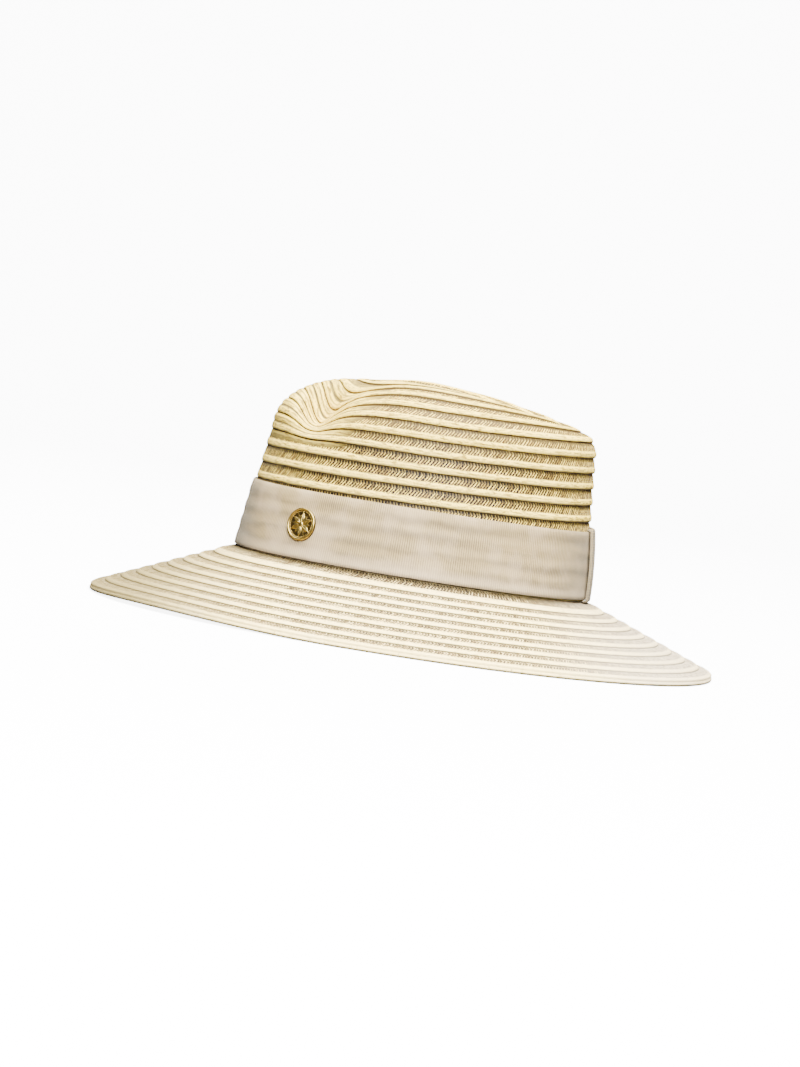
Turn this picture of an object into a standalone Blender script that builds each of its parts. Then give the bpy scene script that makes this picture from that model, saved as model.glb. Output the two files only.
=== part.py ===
"""A straw fedora: a sewn-braid crown with a teardrop dent and two front pinches, a sloping sewn-braid
brim, a grosgrain band with a tab over its join at the back, and a small cast badge on a hidden stud.

The hat rests on its brim. +Z is up, the front is towards -Y and the wearer's left is +X.
The origin is on the resting surface, in the middle of the brim.
"""

import math

import bmesh
import bpy
import numpy as np
from mathutils import Matrix, Vector

MM = 0.001

# Overall sizes of the straw
BRIM_LENGTH = 354.0 * MM
BRIM_WIDTH = 320.0 * MM
HEAD_LENGTH = 197.2 * MM
HEAD_WIDTH = 160.6 * MM
FOOT_HEIGHT = 36.9 * MM
CROWN_HEIGHT = 104.6 * MM
FOOT_FALL_BACK = 3.1 * MM

# The braid: how far apart its rows are sewn, and how far a row's lower edge stands out over the next
BRAID_PITCH = 9.3 * MM
BRIM_PITCH = 8.5 * MM
BRAID_RELIEF = 0.9 * MM
BRAID_LIP = 0.5 * MM
CROWN_WALL = 1.4 * MM
BRIM_WALL = 1.5 * MM
FIRST_ROW = 3.4 * MM
ROW_TILT = 1.0 * MM

# Fits between the pieces
GAP = 0.3 * MM
COLLAR_HEIGHT = 6.0 * MM
COLLAR_WALL = 1.2 * MM

# The brim's cone, its rounding into the crown, and its edge
CONE_START = 0.8 * MM
ROUNDING = 5.0 * MM
RIM_THICKNESS = 2.4 * MM
RIM_FOOT = 2.4 * MM
RIM_LIFT = 2.2 * MM
RIM_LIFT_END = math.radians(76)
BRIM_WIDEST = 0.04

# The two pinches at the front of the crown
PINCH_DOWN = 20.0 * MM
PINCH_IN = 17.0 * MM
PINCH_AT = -0.3347  # how far forward, as a share of the head's length
PINCH_LEAN = 0.12
PINCH_LOW = 60.0 * MM
PINCH_FULL = 104.0 * MM
PINCH_FADE = 108.0 * MM
PINCH_END = 142.0 * MM
PINCH_FRONT = 11.5 * MM
PINCH_BACK = 10.0 * MM
PINCH_FLARE = 0.06
PINCH_TAIL = 24.0 * MM
PINCH_TAIL_END = 62.0 * MM
NOSE_WIDTH = 18.0 * MM
PINCH_APART = 78.0 * MM

# The ribbon band and the tab over its join
BAND_WALL = 1.0 * MM
BAND_WIDTH = 38.3 * MM
BAND_LIFT = 0.0 * MM
BAND_RISE_BACK = 1.0 * MM
TAB_WIDTH = 38.0 * MM
TAB_WALL = 1.0 * MM

# The badge and the stud that holds it
BADGE_DIAMETER = 18.4 * MM
BADGE_BASE = 0.8 * MM
BADGE_EDGE = 1.5 * MM
BADGE_EDGE_HEIGHT = 0.8 * MM
BADGE_AT = -0.3164  # how far forward, as a share of the head's length
PETAL_COUNT = 6
PETAL_HEIGHT = 0.6 * MM
PETAL_LENGTH = 5.0 * MM
PETAL_BREADTH = 2.6 * MM
BOSS_RADIUS = 1.3 * MM
STUD_DIAMETER = 1.6 * MM
STUD_HEAD = 7.0 * MM
STUD_HEAD_HEIGHT = 0.8 * MM

# Columns of faces round the hat, closer together at the pinches
COLUMNS = 60
CROWDING = 1.6
CROWDED_AT = math.radians(42)
CROWDED_WIDTH = math.radians(18)
BADGE_SIDES = 32
SMALL_SIDES = 12
TAB_COLUMNS = 9

# The crown's sections. front, back, widest and crest are places along the head, as shares of its
# length, positive towards the back apart from front; half is a share of its width. The crest is
# where the section is highest or turns. The rises, at the front, crest and back, are shares of the
# crown's height.
SECTIONS = {
    #            front   back   widest  half   crest  rise_front rise_crest rise_back
    "foot":     (0.4970, 0.5030, 0.030, 0.5000, 0.030, 0.000, 0.000, 0.000),
    "shoulder": (0.4442, 0.4711, 0.030, 0.4470, 0.030, 0.682, 0.727, 0.756),
    "ridge":    (0.1900, 0.4110, 0.050, 0.2864, -0.055, 0.966, 0.990, 0.862),
    "tip":      (-0.030, 0.0300, 0.030, 0.0000, 0.030, 0.745, 0.745, 0.745),
}
SECTION_COLUMNS = ("front", "back", "widest", "half", "crest", "rise_front", "rise_crest", "rise_back")
WALL_STEPS = 12
SHOULDER_STEPS = 16
DENT_STEPS = 28
STEP = 0.4 * MM
TURN_STEP = math.radians(0.4)


def column_angles(count):
    """Angles from the front round to the wearer's left, crowded where the pinches are."""
    fine = np.linspace(-math.pi, math.pi, 2001)
    away = (np.abs(fine) - CROWDED_AT) / CROWDED_WIDTH
    density = 1 + CROWDING * np.exp(-(away**2))
    total = np.concatenate([[0], np.cumsum((density[1:] + density[:-1]) / 2)])
    return np.interp(np.arange(count) / count, total / total[-1], fine)


def oval(turn, front, back, widest, half):
    """An egg outline: two half ellipses that meet where it is widest."""
    forward = np.cos(turn)
    reach = np.where(forward > 0, front + widest, back - widest)
    return np.stack([half * np.sin(turn), widest - forward * reach], axis=-1)


def foot_height(turn):
    """Height of the crown's lower edge, which falls a little towards the back."""
    backward = (1 - np.cos(turn)) / 2
    return FOOT_HEIGHT - FOOT_FALL_BACK * backward**3


def section_rise(row, place):
    """How high a section is at this place along the head, as a share of the crown's height."""
    past = place - row["crest"]
    room = np.where(past < 0, row["front"] + row["crest"], row["back"] - row["crest"])
    end = np.where(past < 0, row["rise_front"], row["rise_back"])
    share = np.abs(past) / np.maximum(room, 1e-6)
    return row["rise_crest"] + (end - row["rise_crest"]) * share**1.8


def section(name, turn):
    """Points round one of the crown's sections, without the pinches."""
    row = dict(zip(SECTION_COLUMNS, SECTIONS[name]))
    plan = oval(
        turn,
        row["front"] * HEAD_LENGTH,
        row["back"] * HEAD_LENGTH,
        row["widest"] * HEAD_LENGTH,
        row["half"] * HEAD_WIDTH,
    )
    if name == "foot":
        height = foot_height(turn)
    else:
        height = FOOT_HEIGHT + section_rise(row, plan[..., 1] / HEAD_LENGTH) * CROWN_HEIGHT
    return np.concatenate([plan, height[..., None]], axis=-1)


def meridians(turn):
    """For each angle, a line from the crown's foot up the wall, over the ridge and down to the tip."""
    foot, shoulder, ridge, tip = (section(name, turn) for name in SECTIONS)
    lines = []
    for share in np.linspace(0, 1, WALL_STEPS, endpoint=False):
        lines.append(foot + (shoulder - foot) * share)
    for angle in np.linspace(0, math.pi / 2, SHOULDER_STEPS, endpoint=False):
        point = ridge + (shoulder - ridge) * math.cos(angle)
        point[..., 2] = shoulder[..., 2] + (ridge[..., 2] - shoulder[..., 2]) * math.sin(angle)
        lines.append(point)
    for share in np.linspace(0, 1, DENT_STEPS + 1):
        point = ridge + (tip - ridge) * share
        sink = (1 - math.cos(math.pi * share)) / 2
        point[..., 2] = ridge[..., 2] + (tip[..., 2] - ridge[..., 2]) * sink
        lines.append(point)
    return np.stack(lines)


def climb_table(turn):
    """The meridians and how far along each of them every point lies."""
    lines = meridians(turn)
    steps = np.linalg.norm(np.diff(lines, axis=0), axis=-1)
    return lines, np.concatenate([np.zeros((1, len(turn))), np.cumsum(steps, axis=0)])


def eased(low, high, value):
    """Runs smoothly from 0 at low to 1 at high."""
    share = np.clip((value - low) / (high - low), 0, 1)
    return share * share * (3 - 2 * share)


def pinched(points, climb):
    """Pushes both front corners of the crown in and down. The push starts partly up the wall, is
    full from the shoulder to the ridge and fades in the dent. It ends steeply towards the front,
    slowly towards the back, and leaves a nose between the two."""
    away = points[..., 1] - PINCH_AT * HEAD_LENGTH - PINCH_LEAN * (climb - PINCH_LOW)
    flare = 1 + PINCH_FLARE * (climb - PINCH_LOW) / BRAID_PITCH
    front = np.exp(-(np.abs(away / PINCH_FRONT) ** 2.5))
    back = 1 / (1 + (away / (PINCH_BACK * np.maximum(flare, 1))) ** 2)
    back *= 1 - eased(PINCH_TAIL, PINCH_TAIL_END, away)
    along = eased(PINCH_LOW, PINCH_FULL, climb) * (1 - eased(PINCH_FADE, PINCH_END, climb))
    side = eased(NOSE_WIDTH / 2, PINCH_APART / 2, np.abs(points[..., 0]))
    weight = np.where(away < 0, front, back) * along * side
    out = points.copy()
    out[..., 0] -= np.sign(points[..., 0]) * weight * PINCH_IN
    out[..., 2] -= weight * PINCH_DOWN
    return out


def crown_points(turn, climb):
    """Points of the crown's middle surface at these angles and lengths along the meridians."""
    lines, lengths = climb_table(turn)
    climb = np.broadcast_to(climb, turn.shape)
    below = foot_height(turn) - 0 * turn
    points = np.empty(turn.shape + (3,))
    for j in range(len(turn)):
        for axis in range(3):
            points[j, axis] = np.interp(climb[j], lengths[:, j], lines[:, j, axis])
        if climb[j] < 0:
            up = (lines[1, j] - lines[0, j]) / lengths[1, j]
            points[j] = lines[0, j] + up * climb[j]
            points[j, 2] = below[j] + up[2] * climb[j]
    return pinched(points, climb)


def crown_ring(turn, climb, offset):
    """A ring on the crown, moved outwards from the middle surface by offset."""
    climb = np.broadcast_to(climb, turn.shape)
    along = crown_points(turn, climb + STEP) - crown_points(turn, climb - STEP)
    round_ = crown_points(turn + TURN_STEP, climb) - crown_points(turn - TURN_STEP, climb)
    normal = np.cross(round_, along)
    normal /= np.linalg.norm(normal, axis=-1)[:, None]
    return crown_points(turn, climb) + normal * offset


def row_edges(turn):
    """Where each row of braid starts along the meridians. Rows lie level up the wall, and share out
    what is left of the way to the tip above it."""
    _, lengths = climb_table(turn)
    total = lengths[-1]
    first = FIRST_ROW + (FOOT_HEIGHT - foot_height(turn)) - ROW_TILT * np.cos(turn)
    mean_rows = int(round(float((total - first).mean()) / BRAID_PITCH))
    wall_rows = int(0.25 * mean_rows)
    edges = [np.zeros_like(total)]
    for k in range(mean_rows):
        spare = total - first - mean_rows * BRAID_PITCH
        edges.append(first + k * BRAID_PITCH + spare * eased(wall_rows, mean_rows, k))
    return edges, total


def mesh_object(name, vertices, faces, material, smooth=35):
    """A mesh object with its faces turned outwards."""
    mesh = bpy.data.meshes.new(name)
    mesh.from_pydata([tuple(v) for v in vertices], [], faces)
    work = bmesh.new()
    work.from_mesh(mesh)
    bmesh.ops.recalc_face_normals(work, faces=work.faces)
    work.to_mesh(mesh)
    work.free()
    mesh.shade_smooth()
    mesh.set_sharp_from_angle(angle=math.radians(smooth))
    mesh.materials.append(material)
    thing = bpy.data.objects.new(name, mesh)
    HAT.objects.link(thing)
    return thing


def ring_faces(rings, columns, wraps):
    """Quads between neighbouring rings, and from the last ring back to the first where it wraps."""
    faces = []
    for k in range(rings if wraps else rings - 1):
        for j in range(columns):
            low, high = k * columns, (k + 1) % rings * columns
            faces.append((low + j, low + (j + 1) % columns, high + (j + 1) % columns, high + j))
    return faces


def make_crown(straw):
    """The crown: shingled rows of braid outside, a plain wall inside, open at the foot."""
    turn = column_angles(COLUMNS)
    edges, total = row_edges(turn)
    rings = []
    for low, high in zip(edges, edges[1:] + [None]):
        rings.append(crown_ring(turn, low, BRAID_RELIEF))
        if high is not None:
            rings.append(crown_ring(turn, high - BRAID_LIP, 0.0))
    outer = np.concatenate(rings[::-1])
    inner_rings = [crown_ring(turn, edge, -CROWN_WALL) for edge in edges[0::2]]
    if len(edges) % 2 == 0:
        inner_rings.append(crown_ring(turn, edges[-1], -CROWN_WALL))
    inner = np.concatenate(inner_rings)
    count = len(rings) + len(inner_rings)
    tip = section("tip", turn)[0]
    poles = [tip + [0, 0, BRAID_RELIEF], tip - [0, 0, CROWN_WALL]]
    vertices = np.concatenate([outer, inner, poles])
    faces = ring_faces(count, COLUMNS, False)
    last = (count - 1) * COLUMNS
    top, bottom = count * COLUMNS, count * COLUMNS + 1
    for j in range(COLUMNS):
        k = (j + 1) % COLUMNS
        faces.append((top, k, j))
        faces.append((bottom, last + j, last + k))
    return mesh_object("crown", vertices, faces, straw)


def brim_plan(turn, share):
    """Plan of the brim's top: from the crown's foot, at 0, to the rim, at 1."""
    inner = section("foot", turn)[..., :2]
    half_length = BRIM_LENGTH / 2
    outer = oval(turn, half_length, half_length, BRIM_WIDEST * BRIM_LENGTH, BRIM_WIDTH / 2)
    return inner + (outer - inner) * share


def brim_top(turn, share):
    """Top of the brim: a straight cone from the rim, rounded up into the crown's foot."""
    plan = brim_plan(turn, share)
    cone = foot_height(turn) - CONE_START
    away = np.linalg.norm(brim_plan(turn, share) - brim_plan(turn, 0.0), axis=-1)
    height = RIM_THICKNESS + (cone - RIM_THICKNESS) * (1 - share)
    height += (CONE_START - GAP) * np.clip(1 - away / ROUNDING, 0, 1) ** 2
    return np.concatenate([plan, height[..., None]], axis=-1)


def rim_wave(turn):
    """How far the edge lifts off the surface between the front and each side."""
    inside = np.abs(turn) < RIM_LIFT_END
    return np.where(inside, RIM_LIFT * np.sin(math.pi * np.abs(turn) / RIM_LIFT_END) ** 2, 0.0)


def brim_ring(turn, share, offset):
    """A ring on the brim, moved up from its top by offset. The edge's wave grows towards the rim."""
    ring = brim_top(turn, share)
    ring[..., 2] += offset + rim_wave(turn) * share**2
    return ring


def make_brim(straw):
    """The brim: a collar inside the crown's foot, shingled rows on top, a plain wall underneath."""
    turn = column_angles(COLUMNS)
    length = float(np.linalg.norm(brim_top(turn, 1.0) - brim_top(turn, 0.0), axis=-1).mean())
    rows = int(round(length / BRIM_PITCH))
    lip = BRAID_LIP / length
    collar_out = -(CROWN_WALL + GAP)
    rings = [
        crown_ring(turn, COLLAR_HEIGHT, collar_out - COLLAR_WALL),
        crown_ring(turn, COLLAR_HEIGHT, collar_out),
        crown_ring(turn, -GAP, collar_out),
        crown_ring(turn, -GAP, BRAID_RELIEF / 2),
    ]
    for k in range(1, rows + 1):
        rings.append(brim_ring(turn, k / rows - (lip if k < rows else 0), BRAID_RELIEF * (k < rows)))
        if k < rows:
            rings.append(brim_ring(turn, k / rows, 0.0))
    foot = brim_ring(turn, 1.0, -RIM_THICKNESS)
    inner_foot = brim_ring(turn, 1.0, -RIM_THICKNESS)
    inward = brim_plan(turn, 0.0) - brim_plan(turn, 1.0)
    inner_foot[..., :2] += inward / np.linalg.norm(inward, axis=-1)[:, None] * RIM_FOOT
    rings += [foot, inner_foot]
    for share in (0.9, 0.6, 0.3, 0.06):
        rings.append(brim_ring(turn, share, -BRIM_WALL))
    rings.append(crown_ring(turn, 0.0, collar_out - COLLAR_WALL))
    return mesh_object("brim", np.concatenate(rings), ring_faces(len(rings), COLUMNS, True), straw)


def band_edges(turn):
    """Lengths along the wall of the ribbon's lower and upper edges."""
    backward = (1 - np.cos(turn)) / 2
    low = BAND_LIFT + BAND_RISE_BACK * backward**3
    return low, low + BAND_WIDTH


def make_band(ribbon):
    """The ribbon: one plain loop outside the rows of braid."""
    turn = column_angles(COLUMNS)
    low, high = band_edges(turn)
    inside = BRAID_RELIEF + GAP
    rings = [
        crown_ring(turn, low, inside),
        crown_ring(turn, low, inside + BAND_WALL),
        crown_ring(turn, high, inside + BAND_WALL),
        crown_ring(turn, high, inside),
    ]
    return mesh_object("hat_band", np.concatenate(rings), ring_faces(4, COLUMNS, True), ribbon)


def make_tab(ribbon):
    """The tab: a short piece of ribbon over the band's join, folded in over both its edges."""
    back = np.array([math.pi])
    quarter = crown_points(back + TURN_STEP, 0.0) - crown_points(back - TURN_STEP, 0.0)
    per_turn = float(np.linalg.norm(quarter)) / (2 * TURN_STEP)
    half_turn = TAB_WIDTH / 2 / per_turn
    turn = np.linspace(math.pi - half_turn, math.pi + half_turn, TAB_COLUMNS)
    low, high = band_edges(turn)
    inside = BRAID_RELIEF + GAP
    under = inside + BAND_WALL + 1.5 * GAP
    over = under + TAB_WALL
    profile = [
        (low - GAP - TAB_WALL, inside),
        (low - GAP - TAB_WALL, over),
        (high + GAP + TAB_WALL, over),
        (high + GAP + TAB_WALL, inside),
        (high + GAP, inside),
        (high + GAP, under),
        (low - GAP, under),
        (low - GAP, inside),
    ]
    strips = [crown_ring(turn, climb, offset) for climb, offset in profile]
    vertices = np.stack(strips, axis=1).reshape(-1, 3)
    count = len(profile)
    faces = []
    for j in range(TAB_COLUMNS - 1):
        for k in range(count):
            here, there = j * count, (j + 1) * count
            faces.append((here + k, here + (k + 1) % count, there + (k + 1) % count, there + k))
    faces.append(tuple(range(count)))
    faces.append(tuple((TAB_COLUMNS - 1) * count + k for k in reversed(range(count))))
    return mesh_object("band_tab", vertices, faces, ribbon)


def badge_frame():
    """Where the badge sits: on the band, half way up it, with its own Z out of the hat."""
    turns = np.linspace(0, math.pi / 2, 400)
    middle = sum(band_edges(turns)) / 2
    outside = BRAID_RELIEF + GAP + BAND_WALL
    line = crown_ring(turns, middle, outside)
    best = int(np.argmin(np.abs(line[:, 1] - BADGE_AT * HEAD_LENGTH)))
    centre = Vector(line[best])
    inner = Vector(crown_ring(turns, middle, 0.0)[best])
    out = (centre - inner).normalized()
    up = Vector(crown_ring(turns, middle + STEP, outside)[best]) - centre
    side = up.cross(out).normalized()
    frame = Matrix((side, out.cross(side), out)).transposed().to_4x4()
    frame.translation = centre
    return frame


def turned(name, profile, sides, material, frame):
    """A solid turned about its own Z. The profile is a list of (radius, height) from the top."""
    mesh = bpy.data.meshes.new(name)
    edges = [(k, k + 1) for k in range(len(profile) - 1)]
    mesh.from_pydata([(radius, 0, height) for radius, height in profile], edges, [])
    mesh.materials.append(material)
    thing = bpy.data.objects.new(name, mesh)
    HAT.objects.link(thing)
    thing.matrix_world = frame
    screw = thing.modifiers.new("Turn", "SCREW")
    screw.steps = sides
    screw.render_steps = sides
    screw.use_merge_vertices = True
    screw.merge_threshold = 0.01 * MM
    screw.use_smooth_shade = False
    return thing


def helper(name, mesh, frame):
    """An object that only joins or cuts others."""
    thing = bpy.data.objects.new(name, mesh)
    CUTTERS.objects.link(thing)
    thing.matrix_world = frame
    thing.hide_render = True
    thing.display_type = "WIRE"
    return thing


def petals(frame):
    """The rosette: pointed petals round a boss, all standing a little into the badge's base."""
    work = bmesh.new()
    sink = BADGE_BASE / 2
    rise = BADGE_BASE + PETAL_HEIGHT
    bmesh.ops.create_cone(
        work,
        cap_ends=True,
        segments=SMALL_SIDES,
        radius1=BOSS_RADIUS,
        radius2=BOSS_RADIUS,
        depth=rise - sink,
        matrix=Matrix.Translation((0, 0, (rise + sink) / 2)),
    )
    start = BOSS_RADIUS + 0.4 * MM
    outline = []
    for side in (1, -1):
        for share in np.linspace(0, 1, 6)[:-1]:
            along = share if side > 0 else 1 - share
            outline.append((start + along * PETAL_LENGTH, side * PETAL_BREADTH / 2 * math.sin(math.pi * along)))
    for k in range(PETAL_COUNT):
        spin = Matrix.Rotation(2 * math.pi * k / PETAL_COUNT, 4, "Z")
        low = [work.verts.new(spin @ Vector((x, y, sink))) for x, y in outline]
        face = work.faces.new(low)
        raised = bmesh.ops.extrude_face_region(work, geom=[face])["geom"]
        top = [v for v in raised if isinstance(v, bmesh.types.BMVert)]
        bmesh.ops.translate(work, verts=top, vec=(0, 0, rise - sink))
    bmesh.ops.recalc_face_normals(work, faces=work.faces)
    mesh = bpy.data.meshes.new("petals")
    work.to_mesh(mesh)
    work.free()
    return helper("petals", mesh, frame)


def make_badge(brass, frame):
    """The badge: a cast disc with a raised edge and a rosette, flat on the ribbon."""
    radius = BADGE_DIAMETER / 2
    top = BADGE_BASE + BADGE_EDGE_HEIGHT
    soft = BADGE_EDGE / 4
    profile = [
        (0, BADGE_BASE),
        (radius - BADGE_EDGE, BADGE_BASE),
        (radius - BADGE_EDGE, top - soft),
        (radius - BADGE_EDGE + soft, top),
        (radius - soft, top),
        (radius, top - soft),
        (radius, 0),
        (0, 0),
    ]
    seat = frame @ Matrix.Translation((0, 0, GAP))
    badge = turned("badge", profile, BADGE_SIDES, brass, seat)
    join = badge.modifiers.new("Rosette", "BOOLEAN")
    join.operation = "UNION"
    join.object = petals(seat)
    return badge


def make_stud(brass, frame):
    """The stud: a plain shank through the ribbon and the straw, with a flat head inside the crown."""
    through = BAND_WALL + GAP + BRAID_RELIEF + CROWN_WALL + 2 * GAP
    profile = [
        (0, 0),
        (STUD_DIAMETER / 2, 0),
        (STUD_DIAMETER / 2, -through),
        (STUD_HEAD / 2, -through),
        (STUD_HEAD / 2, -through - STUD_HEAD_HEIGHT),
        (0, -through - STUD_HEAD_HEIGHT),
    ]
    return turned("badge_stud", profile, SMALL_SIDES, brass, frame)


def drill(frame, *things):
    """The hole for the stud's shank."""
    work = bmesh.new()
    radius = STUD_DIAMETER / 2 + GAP
    bmesh.ops.create_cone(
        work,
        cap_ends=True,
        segments=SMALL_SIDES,
        radius1=radius,
        radius2=radius,
        depth=BADGE_DIAMETER,
    )
    mesh = bpy.data.meshes.new("stud_hole")
    work.to_mesh(mesh)
    work.free()
    hole = helper("stud_hole", mesh, frame)
    for thing in things:
        cut = thing.modifiers.new("Stud hole", "BOOLEAN")
        cut.operation = "DIFFERENCE"
        cut.object = hole


def material(name, colour, roughness, metallic=0.0):
    """A plain finish."""
    made = bpy.data.materials.new(name)
    made.use_nodes = True
    shader = made.node_tree.nodes["Principled BSDF"]
    shader.inputs["Base Color"].default_value = (*colour, 1)
    shader.inputs["Roughness"].default_value = roughness
    shader.inputs["Metallic"].default_value = metallic
    return made


for thing in list(bpy.data.objects):
    bpy.data.objects.remove(thing)
HAT = bpy.data.collections.new("straw_fedora")
CUTTERS = bpy.data.collections.new("cutters")
bpy.context.scene.collection.children.link(HAT)
bpy.context.scene.collection.children.link(CUTTERS)

straw = material("straw", (0.84, 0.72, 0.50), 0.62)
ribbon = material("ribbon", (0.72, 0.66, 0.56), 0.7)
brass = material("brass", (0.72, 0.58, 0.30), 0.3, 1.0)
crown = make_crown(straw)
make_brim(straw)
band = make_band(ribbon)
make_tab(ribbon)
place = badge_frame()
make_badge(brass, place)
make_stud(brass, place)
drill(place, crown, band)
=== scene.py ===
"""The looks of a straw fedora: rows of sewn braid with two layers of strands as their open mesh, a
grosgrain band with a tab at the back, and a small cast badge with a rosette.

Lengths are in metres, +Z is up, the front of the hat is towards -Y and the wearer's left is +X.
"""

import math

import bpy
import numpy as np
from mathutils import Matrix, Vector


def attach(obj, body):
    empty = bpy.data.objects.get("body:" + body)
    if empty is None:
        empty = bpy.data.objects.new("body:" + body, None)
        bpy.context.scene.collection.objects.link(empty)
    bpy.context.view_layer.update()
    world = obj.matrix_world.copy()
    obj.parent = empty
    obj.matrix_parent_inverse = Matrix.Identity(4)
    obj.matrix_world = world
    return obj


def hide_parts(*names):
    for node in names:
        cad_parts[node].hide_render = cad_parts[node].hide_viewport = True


bl_info = {
    "name": "Straw Fedora",
    "version": (1, 0, 0),
    "blender": (4, 5, 0),
    "location": "3D View > Sidebar > Fedora",
    "description": "Dresses the hat's solids in sewn straw braid, grosgrain ribbon and cast metal",
    "category": "Add Mesh",
}

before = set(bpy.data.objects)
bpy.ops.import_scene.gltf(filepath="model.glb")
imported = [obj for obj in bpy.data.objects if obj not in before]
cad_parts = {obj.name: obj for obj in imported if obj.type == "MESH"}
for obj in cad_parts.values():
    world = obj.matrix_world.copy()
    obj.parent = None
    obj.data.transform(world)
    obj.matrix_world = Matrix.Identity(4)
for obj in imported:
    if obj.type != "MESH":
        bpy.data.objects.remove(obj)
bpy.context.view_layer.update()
MM = 0.001

# Sizes of the solids under the looks
BRIM_LENGTH = 354.0 * MM
BRIM_WIDTH = 320.0 * MM
HEAD_LENGTH = 197.2 * MM
HEAD_WIDTH = 160.6 * MM
FOOT_HEIGHT = 36.9 * MM
CROWN_HEIGHT = 104.6 * MM
FOOT_FALL_BACK = 3.1 * MM
BRAID_PITCH = 9.3 * MM
BRAID_RELIEF = 0.9 * MM
CROWN_WALL = 1.4 * MM
BRIM_WALL = 1.5 * MM
FIRST_ROW = 3.4 * MM
ROW_TILT = 1.0 * MM
GAP = 0.3 * MM
COLLAR_HEIGHT = 6.0 * MM
COLLAR_WALL = 1.2 * MM
CONE_START = 0.8 * MM
ROUNDING = 5.0 * MM
RIM_THICKNESS = 2.4 * MM
RIM_FOOT = 2.4 * MM
RIM_LIFT = 2.2 * MM
RIM_LIFT_END = math.radians(76)
BRIM_WIDEST = 0.04
PINCH_DOWN = 20.0 * MM
PINCH_IN = 17.0 * MM
PINCH_PLACE = -66.0 * MM
PINCH_LEAN = 0.12
PINCH_LOW = 60.0 * MM
PINCH_FULL = 104.0 * MM
PINCH_FADE = 108.0 * MM
PINCH_END = 142.0 * MM
PINCH_FRONT = 11.5 * MM
PINCH_BACK = 10.0 * MM
PINCH_FLARE = 0.06
PINCH_TAIL = 24.0 * MM
PINCH_TAIL_END = 62.0 * MM
NOSE_WIDTH = 18.0 * MM
PINCH_APART = 78.0 * MM
BAND_WALL = 1.0 * MM
BAND_WIDTH = 38.3 * MM
BAND_RISE_BACK = 1.0 * MM
TAB_WIDTH = 38.0 * MM
TAB_WALL = 1.0 * MM
BADGE_BASE = 0.8 * MM
BADGE_PLACE = -62.4 * MM

# The crown's sections: front, back, widest, half, crest, rise_front, rise_crest, rise_back
SECTIONS = {
    "foot": (0.4970, 0.5030, 0.030, 0.5000, 0.030, 0.000, 0.000, 0.000),
    "shoulder": (0.4442, 0.4711, 0.030, 0.4470, 0.030, 0.682, 0.727, 0.756),
    "ridge": (0.1900, 0.4110, 0.050, 0.2864, -0.055, 0.966, 0.990, 0.862),
    "tip": (-0.030, 0.0300, 0.030, 0.0000, 0.030, 0.745, 0.745, 0.745),
}

# A row of braid in section, from its lower edge up: share of the pitch, and how far it stands out in
# millimetres. The open mesh starts after the dense ridge, and its bed lies under the strands, which
# lean along the row by the third number, in periods. The brim's first row is wider than the others.
CROWN_ROW = (
    (0.000, 0.00),
    (-0.020, 0.50),
    (0.015, 0.95),
    (0.075, 1.22),
    (0.170, 1.38),
    (0.270, 1.34),
    (0.350, 1.16),
    (0.405, 0.92),
    (0.430, 0.62),
    (0.560, 0.50),
    (0.700, 0.36),
    (0.840, 0.14),
    (0.960, -0.30),
)
RIDGE_END = 0.43
CROWN_STRANDS = ((0.39, 0.86, 0.0), (0.58, 0.60, 0.7), (0.77, 0.37, 1.35), (0.98, -0.14, 0.85))
BRIM_ROW = (
    (0.970, -0.10),
    (0.850, 0.22),
    (0.600, 0.62),
    (0.400, 0.86),
    (0.330, 1.12),
    (0.220, 1.26),
    (0.110, 1.14),
    (0.030, 0.78),
    (-0.015, 0.36),
    (0.000, -0.10),
)
BRIM_STRANDS = ((0.30, 1.13, 0.0), (0.53, 0.77, 0.7), (0.76, 0.43, 1.35), (0.99, -0.04, 0.85))
FIRST_BRIM_ROW = 1.55

# Grid counts: round the crown, round the brim, to each rib of the band, round the badge, over the tab
CROWN_COLUMNS = 324
BRIM_COLUMNS = 480
RIB_COLUMNS = 4
BADGE_SPOKES = 288
TAB_STEPS = 128

# Strands: how far one strays along the row in periods and up in metres, the widest one's share of the
# width, and the corners of their section, aside and up
STRAND_STRAY = 0.13
STRAND_LIFT = 0.03 * MM
WIDEST_STRAND = 1.28
STRAND_SECTION = ((-0.5, -0.5), (0.5, -0.5), (0.36, 0.5), (-0.36, 0.5))
SHORTEST_RING = 8

# How much relief the braid loses at the front and keeps under the band, how far the pinches lift the
# mesh and sink its strands, and between which rows, counted from the foot, the painted shade of its mesh
# and lips grows lighter upwards
FRONT_LOSS = 0.35
UNDER_BAND = 0.58
FOLD_RISE = 0.75 * MM
STRAND_SINK = 1.5 * MM
PALE_ROWS = (7.5, 10.5)
LINES_IN_ROW = 4

# Where the mesh is drawn together: from which climb to which, and how far to the front
CLOSED_CLIMB = (60 * MM, 76 * MM)
CLOSED_FRONT = (-38 * MM, -60 * MM)
CLOSED_PUSH = (0.06, 0.30)

# Painted shade at the hat's front and back ends, and a paler, greyer painted light on the brim's back end:
# from and to which Y, with which share, and the tint
CROWN_END_SHADE = ((-0.070, -0.100, 0.25, (0.21, 0.165, 0.075)),)
BRIM_END_LIGHT_AND_SHADE = (
    (-0.060, -0.155, 0.88, (0.17, 0.13, 0.05)),
    (0.060, 0.150, 0.60, (0.60, 0.51, 0.37)),
)
BAND_END_SHADE = (
    (-0.082, -0.099, 0.85, (0.13, 0.11, 0.075)),
    (0.065, 0.100, 0.50, (0.13, 0.11, 0.075)),
)

# The ribbon: rings up the band, and the height of one band of painted ripple shade in
# fortieths of the band
BAND_RINGS = 33
RIPPLE_SHADE_PERIOD = 8.6

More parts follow.
